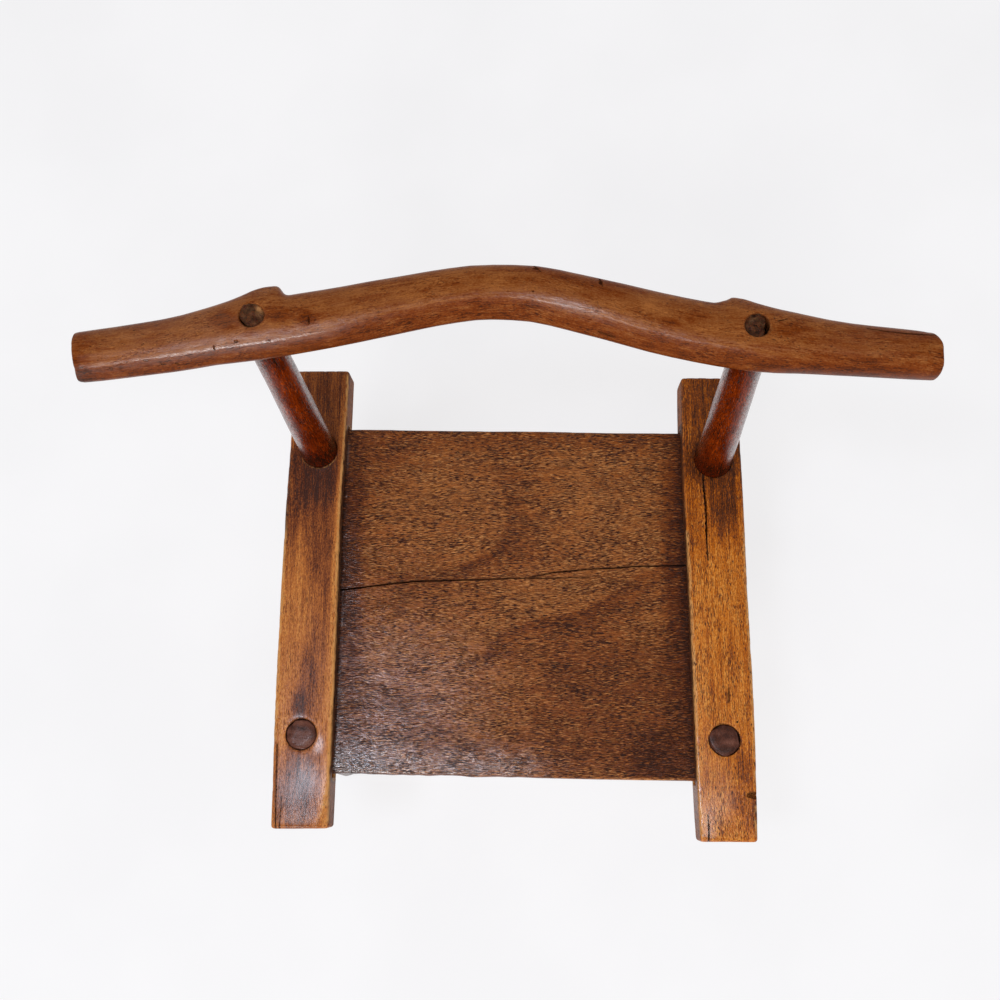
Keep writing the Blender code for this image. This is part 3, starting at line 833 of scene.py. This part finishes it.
def rail_wood(name, tones, dashes, flecks, pores, fibres):
    return wood(
        name, tones=tones, pore_tone=(66, 26, 4), worn_tone=(208, 150, 86), stain=(30, 6, 0.55),
        dashes=dashes, flecks=flecks, pores=pores, fibres=fibres, speckle=0.8, rings=(11, 6, 0.12),
        worn=(10, 3, 2.4), gloss=(0.22, 0.28, 0.45), coat=(1.75, 0.22, 0.05, (30, 9, 0.7), 0.35),
    )


LEFT_RAIL_WOOD = rail_wood(
    "golden rail wood, greyed",
    ((0.0, (206, 135, 66)), (0.3, (180, 105, 46)), (0.6, (138, 75, 35)), (0.8, (101, 48, 23)),
     (1.0, (56, 28, 19))),
    (6, 0.7, 0.5, 1, 0.26), (8, 0.7, 0.45, 1, 0.22), (4.6, 0.7, 0.42, 1, 0.6), (45, 0.7, 0.85),
)
RIGHT_RAIL_WOOD = rail_wood(
    "golden rail wood",
    ((0.0, (222, 148, 66)), (0.3, (195, 108, 23)), (0.6, (148, 71, 9)), (0.8, (104, 51, 16)),
     (1.0, (54, 24, 8))),
    (6, 0.6, 0.52, 1, 0.32), (8, 0.6, 0.5, 1, 0.34), (4.6, 0.6, 0.56, 1, 1.0), (70, 0.52, 1.35),
)


def inner_face(points, top, side):
    """Where a rail's inner face is, as seen from every point."""
    return furthest(points, points[:, 2] > top - RAIL_TOP_BAND, 1, 0, -side)


def shape_rail(node, name, side, chamfer, splits, pits, bores):
    rail = blank(node, name, RAIL_VOXEL)
    low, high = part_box(node)
    seat_low, seat_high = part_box("seat_board")
    points = points_of(rail.data)
    clear = np.ones(len(points))
    for foot, head, radius, _ in bores:
        clear *= ramp(to_line(points, foot, head), radius + 0.001, radius + 0.005)
    ease(rail, FLAT_EASE, 0.1 + 0.9 * clear)
    points = points_of(rail.data)
    x, y, z = points.T
    inward = side * (x - inner_face(points, high.z, side))
    level = np.abs(z - (seat_low.z + seat_high.z) / 2) < GROOVE_REACH
    clear *= 1 - ramp(inward, 0.001, 0.003) * (level & (inward < GROOVE_DEPTH))
    drop = BEND * np.clip((low.y + BEND_REACH - y) / BEND_REACH, 0, 1) ** 2
    width = chamfer * np.clip((CHAMFER_START - y) / (CHAMFER_START - low.y), 0, 1)
    drop += CHAMFER_SLOPE * np.maximum(width - inward, 0)
    z -= drop * ramp(z, high.z - RAIL_TOP_BAND, high.z - 0.002)
    move_points(rail.data, points)
    hew(rail, RAIL_RIPPLES, clear)
    nibble(rail, EDGE_CHIPS, clear * ramp(z, high.z - 0.006, high.z - 0.003))
    cutters = []
    for knots, depth in splits:
        held = [(across, min(max(along, low.y - 0.002), high.y), wide) for across, along, wide in knots]
        cutters.append(split(rail, held, depth, RAIL_JAG))
    cut_away(rail, cutters + [pit(*values) for values in pits])
    return rail


def paint_rail(rail, node, side, inner_wear_and_highlight, stains, polish, splits, pits, bores):
    low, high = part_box(node)
    seat_low, seat_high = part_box("seat_board")
    points, normals = points_of(rail.data), normals_of(rail.data)
    x, y, z = points.T
    face = inner_face(points, high.z, side)
    straight = points.copy()
    straight[:, 0] -= face - np.median(face)
    away = inside(y, low.y + 0.002, high.y - 0.002, 0.006)
    grime, dust_and_reflection = np.zeros((2, len(points)))
    for knots, _ in splits:
        crack = to_path(points, knots)
        away *= ramp(crack, 0.002, 0.005)
        grime = np.maximum(grime, 0.8 * (1 - ramp(crack, 0.0004, 0.0020)))
    for place, radii, _ in pits:
        away *= ramp(np.linalg.norm(points - place, axis=1), max(radii), max(radii) + 0.003)
        # The inside of each pit is painted dark: painted shade in the recess.
        out = np.linalg.norm((points - place) / radii, axis=1)
        grime = np.maximum(grime, 0.8 * (1 - ramp(out, 1.0, 1.3)))
    for foot, head, radius, dust_and_reflection_share in bores:
        gap = to_line(points, foot, head) - radius
        away *= ramp(gap, 0.002, 0.006)
        ring = BORE_RAGGED * np.maximum(ripple(points, (0.006, 0.006, 0.05), dust_and_reflection_share), 0) * (1 - dust_and_reflection_share)
        grime = np.maximum(grime, (0.75 - 0.4 * dust_and_reflection_share) * (1 - ramp(gap - ring, 0.0, 0.0008)))
        # A pale line on the top just outside the front of a bore, as strong as the bore's share: partly
        # pale dirt, partly a painted reflection on the rim.
        front = ramp(head[1] - y, 0.004, 0.012) * ramp(z, high.z - 0.003, high.z - 0.001)
        dust_and_reflection = np.maximum(dust_and_reflection, dust_and_reflection_share * np.exp(-((gap - 0.0009) / 0.0005) ** 2) * front)
    # Faces turned inward get a deeper tone with the dark tone mixed in, and more of it beside the seat:
    # painted shade on the rails' inner faces.
    beside = inside(y, seat_low.y - 0.002, seat_high.y + 0.002, 0.004)
    inner = ramp(-side * normals[:, 0], 0.55, 0.9)
    stain = brushed(straight, RAIL_GROUND, stains)
    stain += (0.60 + 0.32 * beside - stain) * inner
    # Toward the back, edge wear is cut to the share given near the inner edge and to a smaller share
    # elsewhere; the left rail keeps its inner edge whole, wear and a painted highlight along that arris.
    kept = np.where(side * (x - face) < 0.006, inner_wear_and_highlight, OUTER_RUBBED)
    away *= 1 - (1 - kept) * ramp(y, RUBBED_START, RUBBED_START + 0.06)
    paint(rail, grain=points[:, [1, 0, 2]], rings=x + 0.12 * z + 0.02 * y, stain=stain,
          worn=np.maximum(0.8 * edges_worn(rail.data) * away, dust_and_reflection), grime=np.maximum(grime, 0.55 * inner),
          polish=brushed(points, 0.0, polish))


def make_rail(node, name, side, chamfer, inner_wear_and_highlight, stains, polish, splits, pits, bores, material):
    rail = shape_rail(node, name, side, chamfer, splits, pits, bores)
    paint_rail(rail, node, side, inner_wear_and_highlight, stains, polish, splits, pits, bores)
    finish_piece(rail, node, material)


# Legs and posts

LEG_RIPPLES = (((0.03, 0.03, 0.12), 0.0004, 2.2), ((0.012, 0.012, 0.04), 0.0002, 8.4))
POST_RIPPLES = (((0.03, 0.03, 0.10), 0.0005, 5.2), ((0.010, 0.010, 0.04), 0.0002, 3.4))
FACETS = 10
LEG_FACETING = 0.5
POST_FACETING = 0.12
PLUG_START = 0.262
PLUG_SWELL = 0.040
PLUG_UNEVEN = 0.0014
PLUG_DOME = 0.0003
PLUG_CHAMFER = 0.0004
# Facets hewn on a leg's end: (direction in degrees, start from the middle, slope)
PLUG_FACETS = ((-52, 0.0075, 0.16), (75, 0.0085, 0.10), (165, 0.0075, 0.12), (250, 0.0095, 0.14))
PLUG_BANDS = (0.030, 0.006, 0.03)
# Stained bands up a leg and a post, as by_height() takes them
LEG_BANDS = ((0.0, 0.05, 0.7),)
POST_BANDS = ((0.0, 0.06, 0.7), (0.295, 0.018, 0.80), (0.500, 0.03, 0.6), (0.54, 0.022, 0.9))
LEG_WOOD = wood(
    "dark leg wood",
    tones=((0.0, (134, 87, 70)), (0.4, (101, 60, 47)), (0.7, (74, 40, 29)), (1.0, (40, 22, 16))),
    pore_tone=(34, 20, 16), worn_tone=(130, 88, 62), stain=(12, 8, 0.5), dashes=(6, 1.2, 0.4, 3, 0.2),
    flecks=(6, 1.2, 0.3, 3, 0.15), pores=(5, 0.8, 0.3, 3, 0.6), fibres=(40, 1.6, 0.3), speckle=0.5,
    rings=(6, 3, 0.1), worn=(8, 4, 1.4), gloss=(0.18, 0.26, 0.3), coat=(1.5, 0.2, 0.1, (6, 2.5, 1.4), 0.2),
)
POST_WOOD = wood(
    "polished red post wood",
    tones=((0.0, (150, 58, 8)), (0.35, (104, 32, 0)), (0.65, (77, 19, 0)), (1.0, (33, 11, 3))),
    pore_tone=(32, 8, 0), worn_tone=(186, 130, 80), stain=(22, 7, 0.9), dashes=(7, 0.9, 0.5, 2, 0.5),
    flecks=(7, 0.9, 0.45, 2, 0.5), pores=(4, 0.8, 0.4, 2, 0.7), fibres=(14, 1, 0.8), speckle=0.9,
    rings=(8, 4, 0.1), worn=(4, 3, 1.6), gloss=(0.1, 0.21, 0.6), coat=(2.4, 0.22, 0.8, (3, 1.4, 4.0), 0.0),
)


def facet(piece, shift, share):
    """Flattens a round piece into soft uneven facets, each cut inward by a share of its full depth."""
    points = points_of(piece.data)
    turn, distance, out = around(points)
    twist = 0.5 * ripple(points * (0, 0, 1), (1, 1, 0.2), shift)
    uneven = turn + 0.25 * np.sin(turn + shift) + 0.12 * np.sin(2 * turn + 2 * shift) + twist
    wedge = 2 * math.pi / FACETS
    within = np.mod(uneven, wedge) - wedge / 2
    flat = math.cos(wedge / 2) / np.cos(within)
    points[:, :2] -= out * (distance * share * (1 - flat))[:, None]
    move_points(piece.data, points)


def paint_standing(piece, **masks):
    """Paints a standing piece's grain and rings, and the masks given."""
    grain = grain_along(points_of(piece.data), 2)
    paint(piece, grain=grain, rings=np.hypot(grain[:, 1], grain[:, 2]) + 0.05 * grain[:, 0], **masks)


def by_height(points, ground, strokes):
    """Soft bands up a standing piece: (height, reach, level)."""
    heights = np.stack([points[:, 2], np.zeros(len(points))], axis=1)
    return brushed(heights, ground, [(height, 0.0, reach, 1.0, level) for height, reach, level in strokes])


def make_leg(node, name, shift, swivel, ground):
    leg = blank(node, name, LEG_VOXEL)
    ease(leg, FLAT_EASE)
    facet(leg, shift, LEG_FACETING)
    hew(leg, LEG_RIPPLES)
    points = points_of(leg.data)
    z = points[:, 2]
    _, distance, out = around(points)
    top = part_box(node)[1].z
    outward = distance / distance[z > top - 0.004].max()
    plug = ramp(z, PLUG_START, PLUG_START + 0.01)
    uneven = PLUG_UNEVEN * ripple(points, (0.006, 0.006, 0.05), shift)
    points[:, :2] += out * ((distance * PLUG_SWELL + uneven) * plug)[:, None]
    upper = ramp(z, top - 0.004, top - 0.001)
    rim = ramp(outward, 0.9, 1.0)
    z += upper * (PLUG_DOME * (1 - outward ** 2) - PLUG_CHAMFER * rim)
    for degrees, start, slope in PLUG_FACETS:
        way = math.radians(degrees) + swivel
        reach = distance * (out @ np.array((math.cos(way), math.sin(way))))
        z -= upper * slope * np.maximum(reach - start, 0)
    move_points(leg.data, points)
    stain = by_height(points, ground, LEG_BANDS) + 0.5 * ripple(points, PLUG_BANDS, shift) * upper
    paint_standing(leg, stain=stain + 0.15 * upper * rim)
    finish_piece(leg, node, LEG_WOOD)


TENON_START = 0.503
TENON_GAP_START = 0.512
TENON_HEAD = 0.526
TENON_SWELL = 0.17
TENON_ROUGH = 0.0018
TENON_UNEVEN = 0.0010
COLLAR = 0.0006
COLLAR_HEIGHT = 0.284
COLLAR_REACH = 0.010


def make_post(node, name, shift, gap, gap_turn, gold, pale, grimy, rubbed_turn):
    post = blank(node, name, POST_VOXEL)
    below = 1 - ramp(points_of(post.data)[:, 2], TENON_START - 0.002, TENON_START + 0.002)
    ease(post, ROUND_EASE, 0.12 + 0.88 * below)
    facet(post, shift, POST_FACETING * below)
    hew(post, POST_RIPPLES)
    points = points_of(post.data)
    z = points[:, 2]
    turn, distance, out = around(points)
    head = ramp(z, TENON_HEAD, TENON_HEAD + 0.004)
    swell = TENON_SWELL * distance * head + COLLAR * np.exp(-((z - COLLAR_HEIGHT) / COLLAR_REACH) ** 2)
    swell += TENON_UNEVEN * ripple(points, (0.005, 0.005, 0.05), shift) * head
    swell -= gap * np.maximum(np.cos(turn - gap_turn), 0) ** 2 * ramp(z, TENON_GAP_START, 0.52)
    points[:, :2] += out * swell[:, None]
    z += TENON_ROUGH * ripple(points, (0.0035, 0.0035, 0.02), shift) * head
    move_points(post.data, points)
    worn = brushed(points, pale, (gold,)) * ramp(z, 0.53, 0.534)
    grime = grimy * head * (1 - brushed(points, 0.0, (gold,)))
    sides = np.abs(np.cos(turn - rubbed_turn))
    shown = ramp(z, 0.29, 0.32) * (1 - ramp(z, 0.500, 0.504))
    paint_standing(post, stain=by_height(points, 0.45, POST_BANDS), worn=worn, grime=grime,
                   polish=0.85 * ramp(sides, 0.42, 0.86) * shown)
    finish_piece(post, node, POST_WOOD)


# Backrest

BAR_RIPPLES = (((0.09, 0.05, 0.05), 0.0006, 3.3), ((0.03, 0.02, 0.02), 0.0002, 7.1))
# The ridge along the bar's upper front, where a flat facet starts below it: (x, y, z, polish)
RIDGE = np.array(metres(
    (-361, 146.2, 533.4, 0.48), (-318, 151.9, 533.9, 0.62), (-274, 158, 534.7, 0.82),
    (-231, 164.8, 534.6, 0.9), (-189, 170.4, 534.5, 0.9), (-143, 179.7, 535.1, 0.78),
    (-110, 189.1, 536.5, 0.42), (-77, 198, 537.9, 0.3), (-51, 203.3, 538.2, 0.32),
    (-18, 207.3, 538.4, 0.28), (5, 208.2, 538.5, 0.38), (18, 207.5, 538.6, 0.5), (41, 202.2, 538.3, 0.74),
    (62, 197.4, 538.4, 1), (87, 188.4, 537.2, 0.62), (114, 178.5, 536.8, 0.42), (155, 166.5, 536.3, 0.46),
    (193, 160.4, 537.4, 0.22), (240, 152, 537, 0),
    plain=1,
))
RIDGE_EASE = 14
RIDGE_REACH = 0.009
FACET_FOOT = 0.516
# How much of the facet is cut, and where it runs out: (x, share)
FACET_FADE = ((0.155, 0.9), (0.193, 0.6), (0.240, 0.0))
# Fuller places on the bar's back: (x, reach, height), and the corners of its lugs: (x, reach)
BACK_SWELLS = metres((-203, 10, 1.3), (186.2, 5.5, 3.4), (201, 9, 1))
LUG_CORNERS = metres((-186, 5), (188, 8))
LUG_EASE = 36
END_SQUARE = 0.0045
RIGHT_END_SQUARE = 0.002
RIGHT_END_TRIM = 0.006
END_REACH = 0.020
END_BAND = 0.03
BAR_GROUND = 0.40
BAR_STAINS = metres(
    (-230.8, 188, 12, 8, 0.72), (-184.1, 192.9, 14, 6, 0.74), (-164, 190, 10, 7, 0.72),
    (-300, 190, 30, 10, 0.6), (237, 175, 14, 7, 0.62), (159, 190, 12, 8, 0.72), (138.3, 182.8, 8, 6, 0.7),
    (263.5, 163.8, 20, 6, 0.58), (297.5, 165.1, 12, 8, 0.56), (30, 230, 30, 12, 0.62),
    (-39.3, 220.8, 16, 6, 0.6), (90, 215, 30, 12, 0.62), (120, 195, 50, 10, 0.36),
    (320, 170, 50, 12, 0.6), (-352, 150, 10, 60, 0.6), (290, 150, 85, 12, 0.52), (290, 136, 85, 10, 0.48),
    (-30, 227.5, 60, 12, 0.34),
    plain=1,
)
BAR_DUST = metres(
    (-270, 180, 90, 30, 0.44), (300, 168, 60, 20, 0.28), (-120, 205, 60, 15, 0.22),
    (130, 205, 50, 15, 0.15), (50, 210, 60, 12, 0.15),
    plain=1,
)
BAR_SPLITS = (
    opened(
        6, (298.7, 175.5, 0.2), (309.9, 173.2, 0.6), (318.7, 171.7, 0.9), (330, 170.3, 1.2),
        (345.3, 169.2, 1.1), (355, 169.6, 0.6),
    ),
    opened(4, (27, 237, 1.6), (31, 231, 1), (32.5, 229, 0.3)),
    opened(4, (81.5, 224.5, 1), (83, 218, 0.8), (83.8, 215, 0.3)),
    opened(3, (226.5, 182.2, 1.2), (230, 182.8, 1.2), (234.1, 184.1, 0.2)),
    opened(3, (80, 181.5, 0.4), (87, 179, 1), (94, 176.5, 0.2)),
)
# Nicks along the bar: (x, y, reach along x, reach along y, depth)
BAR_NICKS = metres(
    (-239.2, 165.4, 1, 3, 1.6), (-220.9, 170.1, 2.2, 1.4, 1.4), (-295.9, 155.3, 3.2, 1, 1.2),
    (-284.5, 154.5, 2, 1, 1.2), (-326.2, 149.8, 1.8, 1.2, 1.4), (-272.5, 155.5, 2.4, 1, 1.2),
    (-193.7, 171.3, 1.6, 1, 1.2), (-160.3, 186.6, 1, 4.5, 1.2), (25.8, 210.9, 1.4, 1, 1),
    (24, 188, 4, 2, 4), (28.5, 233, 3.4, 2.2, 1.6), (82.2, 219.5, 2, 4.8, 1.6),
)
SOCKET_REACH = 0.0122
SOCKET_DEPTH = 0.0050
SOCKET_JAG = 0.10
BACKREST_WOOD = wood(
    "hand-polished bar wood",
    tones=((0.0, (168, 102, 50)), (0.35, (136, 78, 36)), (0.6, (115, 51, 10)), (0.8, (86, 37, 9)),
           (1.0, (48, 23, 9))),
    pore_tone=(50, 26, 15), worn_tone=(150, 108, 84), stain=(18, 7, 0.62), dashes=(6, 0.9, 0.42, 3, 0.28),
    flecks=(6, 0.9, 0.42, 3, 0.22), pores=(2.4, 0.9, 0.32, 3, 0.7), fibres=(20, 1, 0.55), speckle=0.5,
    rings=(9, 6, 0.08), worn=(12, 5, 1.0), gloss=(0.06, 0.3, 0.25), coat=(1.8, 0.29, 0.4, (6, 2, 1.6), 0.4),
)


def ridge_at(points):
    """(y, z, polish) of the ridge at each point's place along the bar."""
    return (np.interp(points[:, 0], RIDGE[:, 0], RIDGE[:, i]) for i in (1, 2, 3))


def near_ridge(points, ridge_y, ridge_z):
    """1 on the ridge, fading to 0 away from it."""
    return np.exp(-(np.hypot(points[:, 1] - ridge_y, points[:, 2] - ridge_z) / RIDGE_REACH) ** 2)


def plane_front(points, ridge_y, ridge_z):
    """Moves the points that stand proud of the facet below the ridge down to it."""
    share = np.interp(points[:, 0], *zip(*FACET_FADE))
    foot_y = furthest(points, np.abs(points[:, 2] - FACET_FOOT) < 0.003, 0, 1, -1)
    facing = np.stack([foot_y - ridge_y, ridge_z - FACET_FOOT], axis=1)
    across = np.stack([-facing[:, 1], -facing[:, 0]], axis=1) / np.linalg.norm(facing, axis=1)[:, None]
    proud = across[:, 0] * (points[:, 1] - ridge_y) + across[:, 1] * (points[:, 2] - ridge_z)
    points[:, 1:] -= across * (share * np.maximum(proud, 0))[:, None]


def shape_bar(tenons, tops):
    bar = blank("backrest", "backrest_bar", BAR_VOXEL)
    points = points_of(bar.data)
    x, y, z = points.T
    low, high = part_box("backrest")
    left, right = low.x + END_BAND, high.x - END_BAND
    from_left = x - furthest(points, x < left, 1, 0, -1)
    from_right = furthest(points, x > right, 1, 0, 1) - x
    from_end = np.minimum(np.where(x < left, from_left, 1.0), np.where(x > right, from_right, 1.0))
    right_end = y[x > high.x - END_REACH]
    end_front, end_back = right_end.min(), right_end.max()
    free = 0.08 + 0.92 * ramp(from_end, 0.002, 0.006)
    for foot, head, radius in tenons:
        free *= 0.15 + 0.85 * ramp(to_line(points, foot, head), radius + 0.001, radius + 0.004)
    ease(bar, ROUND_EASE, free)
    points, normals = points_of(bar.data), normals_of(bar.data)
    x, y, z = points.T
    away = ramp(free, 0.3, 0.9)
    push = sum(height * np.exp(-((x - place) / reach) ** 2) for place, reach, height in BACK_SWELLS)
    points += normals * (push * ramp(normals[:, 1], 0.5, 0.9) * away)[:, None]
    ridge_y, ridge_z, _ = ridge_at(points)
    plane_front(points, ridge_y, ridge_z)
    lower = np.clip((ridge_z - z) / (ridge_z - FACET_FOOT), 0, 1) * ramp(ridge_y - y, -0.006, 0.0)
    square = END_SQUARE * lower * (1 - ramp(from_left, 0.0, END_REACH))
    x -= np.where(x < left, square, 0)
    middle = (end_back + end_front) / 2
    turned = (y - middle) / (end_back - middle)
    reshape = RIGHT_END_SQUARE * ramp(-turned, 0.0, 1.0) - RIGHT_END_TRIM * ramp(turned, 0.0, 1.0)
    x += np.where(x > right, reshape * (1 - ramp(from_right, 0.0, END_REACH)), 0)
    move_points(bar.data, points)
    ease(bar, RIDGE_EASE, free * near_ridge(points, ridge_y, ridge_z))
    corners = sum(np.exp(-((x - place) / reach) ** 2) for place, reach in LUG_CORNERS)
    ease(bar, LUG_EASE, corners * ramp(y - ridge_y, 0.015, 0.025))
    hew(bar, BAR_RIPPLES, away)
    heights = top_heights(bar, [nick[:2] for nick in BAR_NICKS])
    cutters = [split(bar, knots, depth) for knots, depth in BAR_SPLITS]
    for i, nick in enumerate(BAR_NICKS):
        cutters.append(pit((*nick[:2], heights[i]), nick[2:], i))
    for i, top in enumerate(tops):
        cutters.append(pit((*top, high.z), (SOCKET_REACH, SOCKET_REACH, SOCKET_DEPTH), i + 20, SOCKET_JAG))
    cut_away(bar, cutters)
    return bar


def paint_bar(bar, tenons):
    low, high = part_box("backrest")
    points, normals = points_of(bar.data), normals_of(bar.data)
    x, y, z = points.T
    grain = grain_along(points, 0)
    grime = np.zeros(len(points))
    for foot, head, radius in tenons:
        grime = np.maximum(grime, 0.7 * (1 - ramp(to_line(points, foot, head) - radius, 0.0, 0.0012)))
    upper = z > (low.z + high.z) / 2
    # Each nick is painted dark on the bar's upper half: painted shade inside the nick.
    for nick_x, nick_y, reach_x, reach_y, _ in BAR_NICKS:
        out = np.hypot((x - nick_x) / reach_x, (y - nick_y) / reach_y)
        grime = np.maximum(grime, 0.75 * (1 - ramp(out, 0.5, 1.1)) * upper)
    for knots, _ in BAR_SPLITS:
        grime = np.maximum(grime, 0.7 * (1 - ramp(to_path(points, knots), 0.0004, 0.0012)) * upper)
    # Faces turned forward and down get a deeper tone: painted shade along the bar's lower front.
    lower_front = ramp(-normals[:, 1] - 0.4 * normals[:, 2], 0.1, 0.8)
    ridge_y, ridge_z, polish = ridge_at(points)
    paint(bar, grain=grain, rings=0.8 * grain[:, 1] + 0.6 * grain[:, 2] + 0.02 * grain[:, 0],
          polish=polish * near_ridge(points, ridge_y, ridge_z),
          stain=brushed(points, BAR_GROUND, BAR_STAINS) + 0.23 * lower_front,
          worn=brushed(points, 0.05, BAR_DUST) * ramp(normals[:, 2], 0.2, 0.8), grime=grime)


def make_backrest(tenons, tops):
    bar = shape_bar(tenons, tops)
    paint_bar(bar, tenons)
    finish_piece(bar, "backrest", BACKREST_WOOD)


# Stage, light and camera

def make_floor():
    bm = bmesh.new()
    bmesh.ops.create_grid(bm, x_segments=4, y_segments=4, size=FLOOR_SIZE / 2)
    floor = object_from(bm, "floor")
    floor.location.z = -FLOOR_DROP
    material = bpy.data.materials.new("pale floor")
    material.use_nodes = True
    tree = material.node_tree
    shader = tree.nodes["Principled BSDF"]
    place = put(tree, "ShaderNodeNewGeometry").outputs["Position"]
    cloud = put(tree, "ShaderNodeTexNoise", {"Vector": place, "Scale": 3.0, "Detail": 4.0}).outputs["Fac"]
    share = eased_range(tree, cloud, 0.35, 0.65)
    colour = mix_colour(tree, share, linear(*FLOOR_TONE), linear(*[value + 3 for value in FLOOR_TONE]))
    tree.links.new(colour, shader.inputs["Base Color"])
    shader.inputs["Roughness"].default_value = 0.9
    paths = put(tree, "ShaderNodeLightPath").outputs
    seen = paths["Is Camera Ray"]
    for kind in ("Is Glossy Ray", "Is Transmission Ray"):
        seen = math_node(tree, "MAXIMUM", seen, paths[kind])
    glow = put(tree, "ShaderNodeEmission", {"Color": colour, "Strength": 1.0}).outputs[0]
    share = scaled(tree, seen, FLOOR_GLOW)
    both = put(tree, "ShaderNodeMixShader", {0: share, 1: shader.outputs[0], 2: glow})
    tree.links.new(both.outputs[0], tree.nodes["Material Output"].inputs["Surface"])
    floor.data.materials.append(material)


def make_light(name, place, size, watts, tone):
    light = bpy.data.lights.new(name, "AREA")
    light.shape = "RECTANGLE"
    light.size, light.size_y = size
    light.energy = watts
    light.color = tone
    lamp = new_object(name, light)
    aim = (LIGHT_AIM - Vector(place)).to_track_quat("-Z", "Y")
    lamp.matrix_world = Matrix.Translation(place) @ aim.to_matrix().to_4x4()


def make_sky():
    """A soft white room with a dimmer ceiling."""
    world = bpy.data.worlds.new("soft white room")
    world.use_nodes = True
    tree = world.node_tree
    background = tree.nodes["Background"]
    way = put(tree, "ShaderNodeTexCoord").outputs["Generated"]
    height = put(tree, "ShaderNodeSeparateXYZ", {0: way}).outputs["Z"]
    background.inputs["Color"].default_value = SKY_TONE + (1.0,)
    tree.links.new(eased_range(tree, height, 0.15, 0.9, HORIZON, ZENITH), background.inputs["Strength"])
    bpy.context.scene.world = world


def make_camera():
    camera = bpy.data.cameras.new("camera")
    camera.lens = CAMERA_LENS
    camera.sensor_width = CAMERA_SENSOR
    eye = new_object("camera", camera)
    up = CAMERA_RIGHT.cross(CAMERA_FORWARD)
    turn = Matrix((CAMERA_RIGHT, up, -CAMERA_FORWARD)).transposed()
    eye.matrix_world = Matrix.Translation(CAMERA_PLACE) @ turn.to_4x4()
    bpy.context.scene.camera = eye


# Where round parts pass through the rails and the bar: (a place beyond, a place at the top, radius, share
# of a pale line on the bore's front rim, which is partly pale dirt and partly a painted reflection)
LEFT_LEG_BORE = ((-0.2046, -0.1631, 0.0), (-0.2046, -0.1406, 0.285), 0.0153, 0.0)
RIGHT_LEG_BORE = ((0.2099, -0.1691, 0.0), (0.2099, -0.1466, 0.285), 0.0153, 0.0)
LEFT_POST_BORE = ((-0.2076, 0.1871, 0.5047), (-0.1981, 0.1509, 0.285), 0.0188, 0.75)
RIGHT_POST_BORE = ((0.2100, 0.1736, 0.5047), (0.2119, 0.1374, 0.285), 0.0195, 0.15)
LEFT_TENON_BORE = LEFT_POST_BORE[:2] + (0.0103,)
RIGHT_TENON_BORE = RIGHT_POST_BORE[:2] + (0.0103,)
LEFT_TENON_TOP = (-0.2090, 0.1928)
RIGHT_TENON_TOP = (0.2098, 0.1791)

make_seat()
make_rail(
    "left_rail", "left_side_rail", -1, 0.011, 1.0, LEFT_RAIL_STAINS_AND_HIGHLIGHT, LEFT_RAIL_POLISH, LEFT_RAIL_SPLITS, (),
    (LEFT_LEG_BORE, LEFT_POST_BORE), LEFT_RAIL_WOOD,
)
make_rail(
    "right_rail", "right_side_rail", 1, 0.0, 0.2, RIGHT_RAIL_STAINS, RIGHT_RAIL_POLISH, RIGHT_RAIL_SPLITS,
    RIGHT_RAIL_PITS, (RIGHT_LEG_BORE, RIGHT_POST_BORE), RIGHT_RAIL_WOOD,
)
make_leg("left_front_leg", "left_leg", 0.4, 0.0, 0.50)
make_leg("right_front_leg", "right_leg", 1.9, 0.6, 0.56)
make_post(
    "left_back_post", "left_post", 0.9, 0.0030, math.radians(215), (-0.2010, 0.1990, 0.0048, 0.0050, 1.0),
    0.33, 0.50, math.radians(28),
)
make_post(
    "right_back_post", "right_post", 2.6, 0.0052, math.radians(-5), (0.2060, 0.1850, 0.0030, 0.0020, 0.55),
    0.30, 0.52, math.radians(-20),
)
make_backrest((LEFT_TENON_BORE, RIGHT_TENON_BORE), (LEFT_TENON_TOP, RIGHT_TENON_TOP))
make_floor()
for light in LIGHTS:
    make_light(*light)
make_sky()
make_camera()
bpy.context.scene.view_settings.view_transform = "Standard"

bpy.context.view_layer.update()
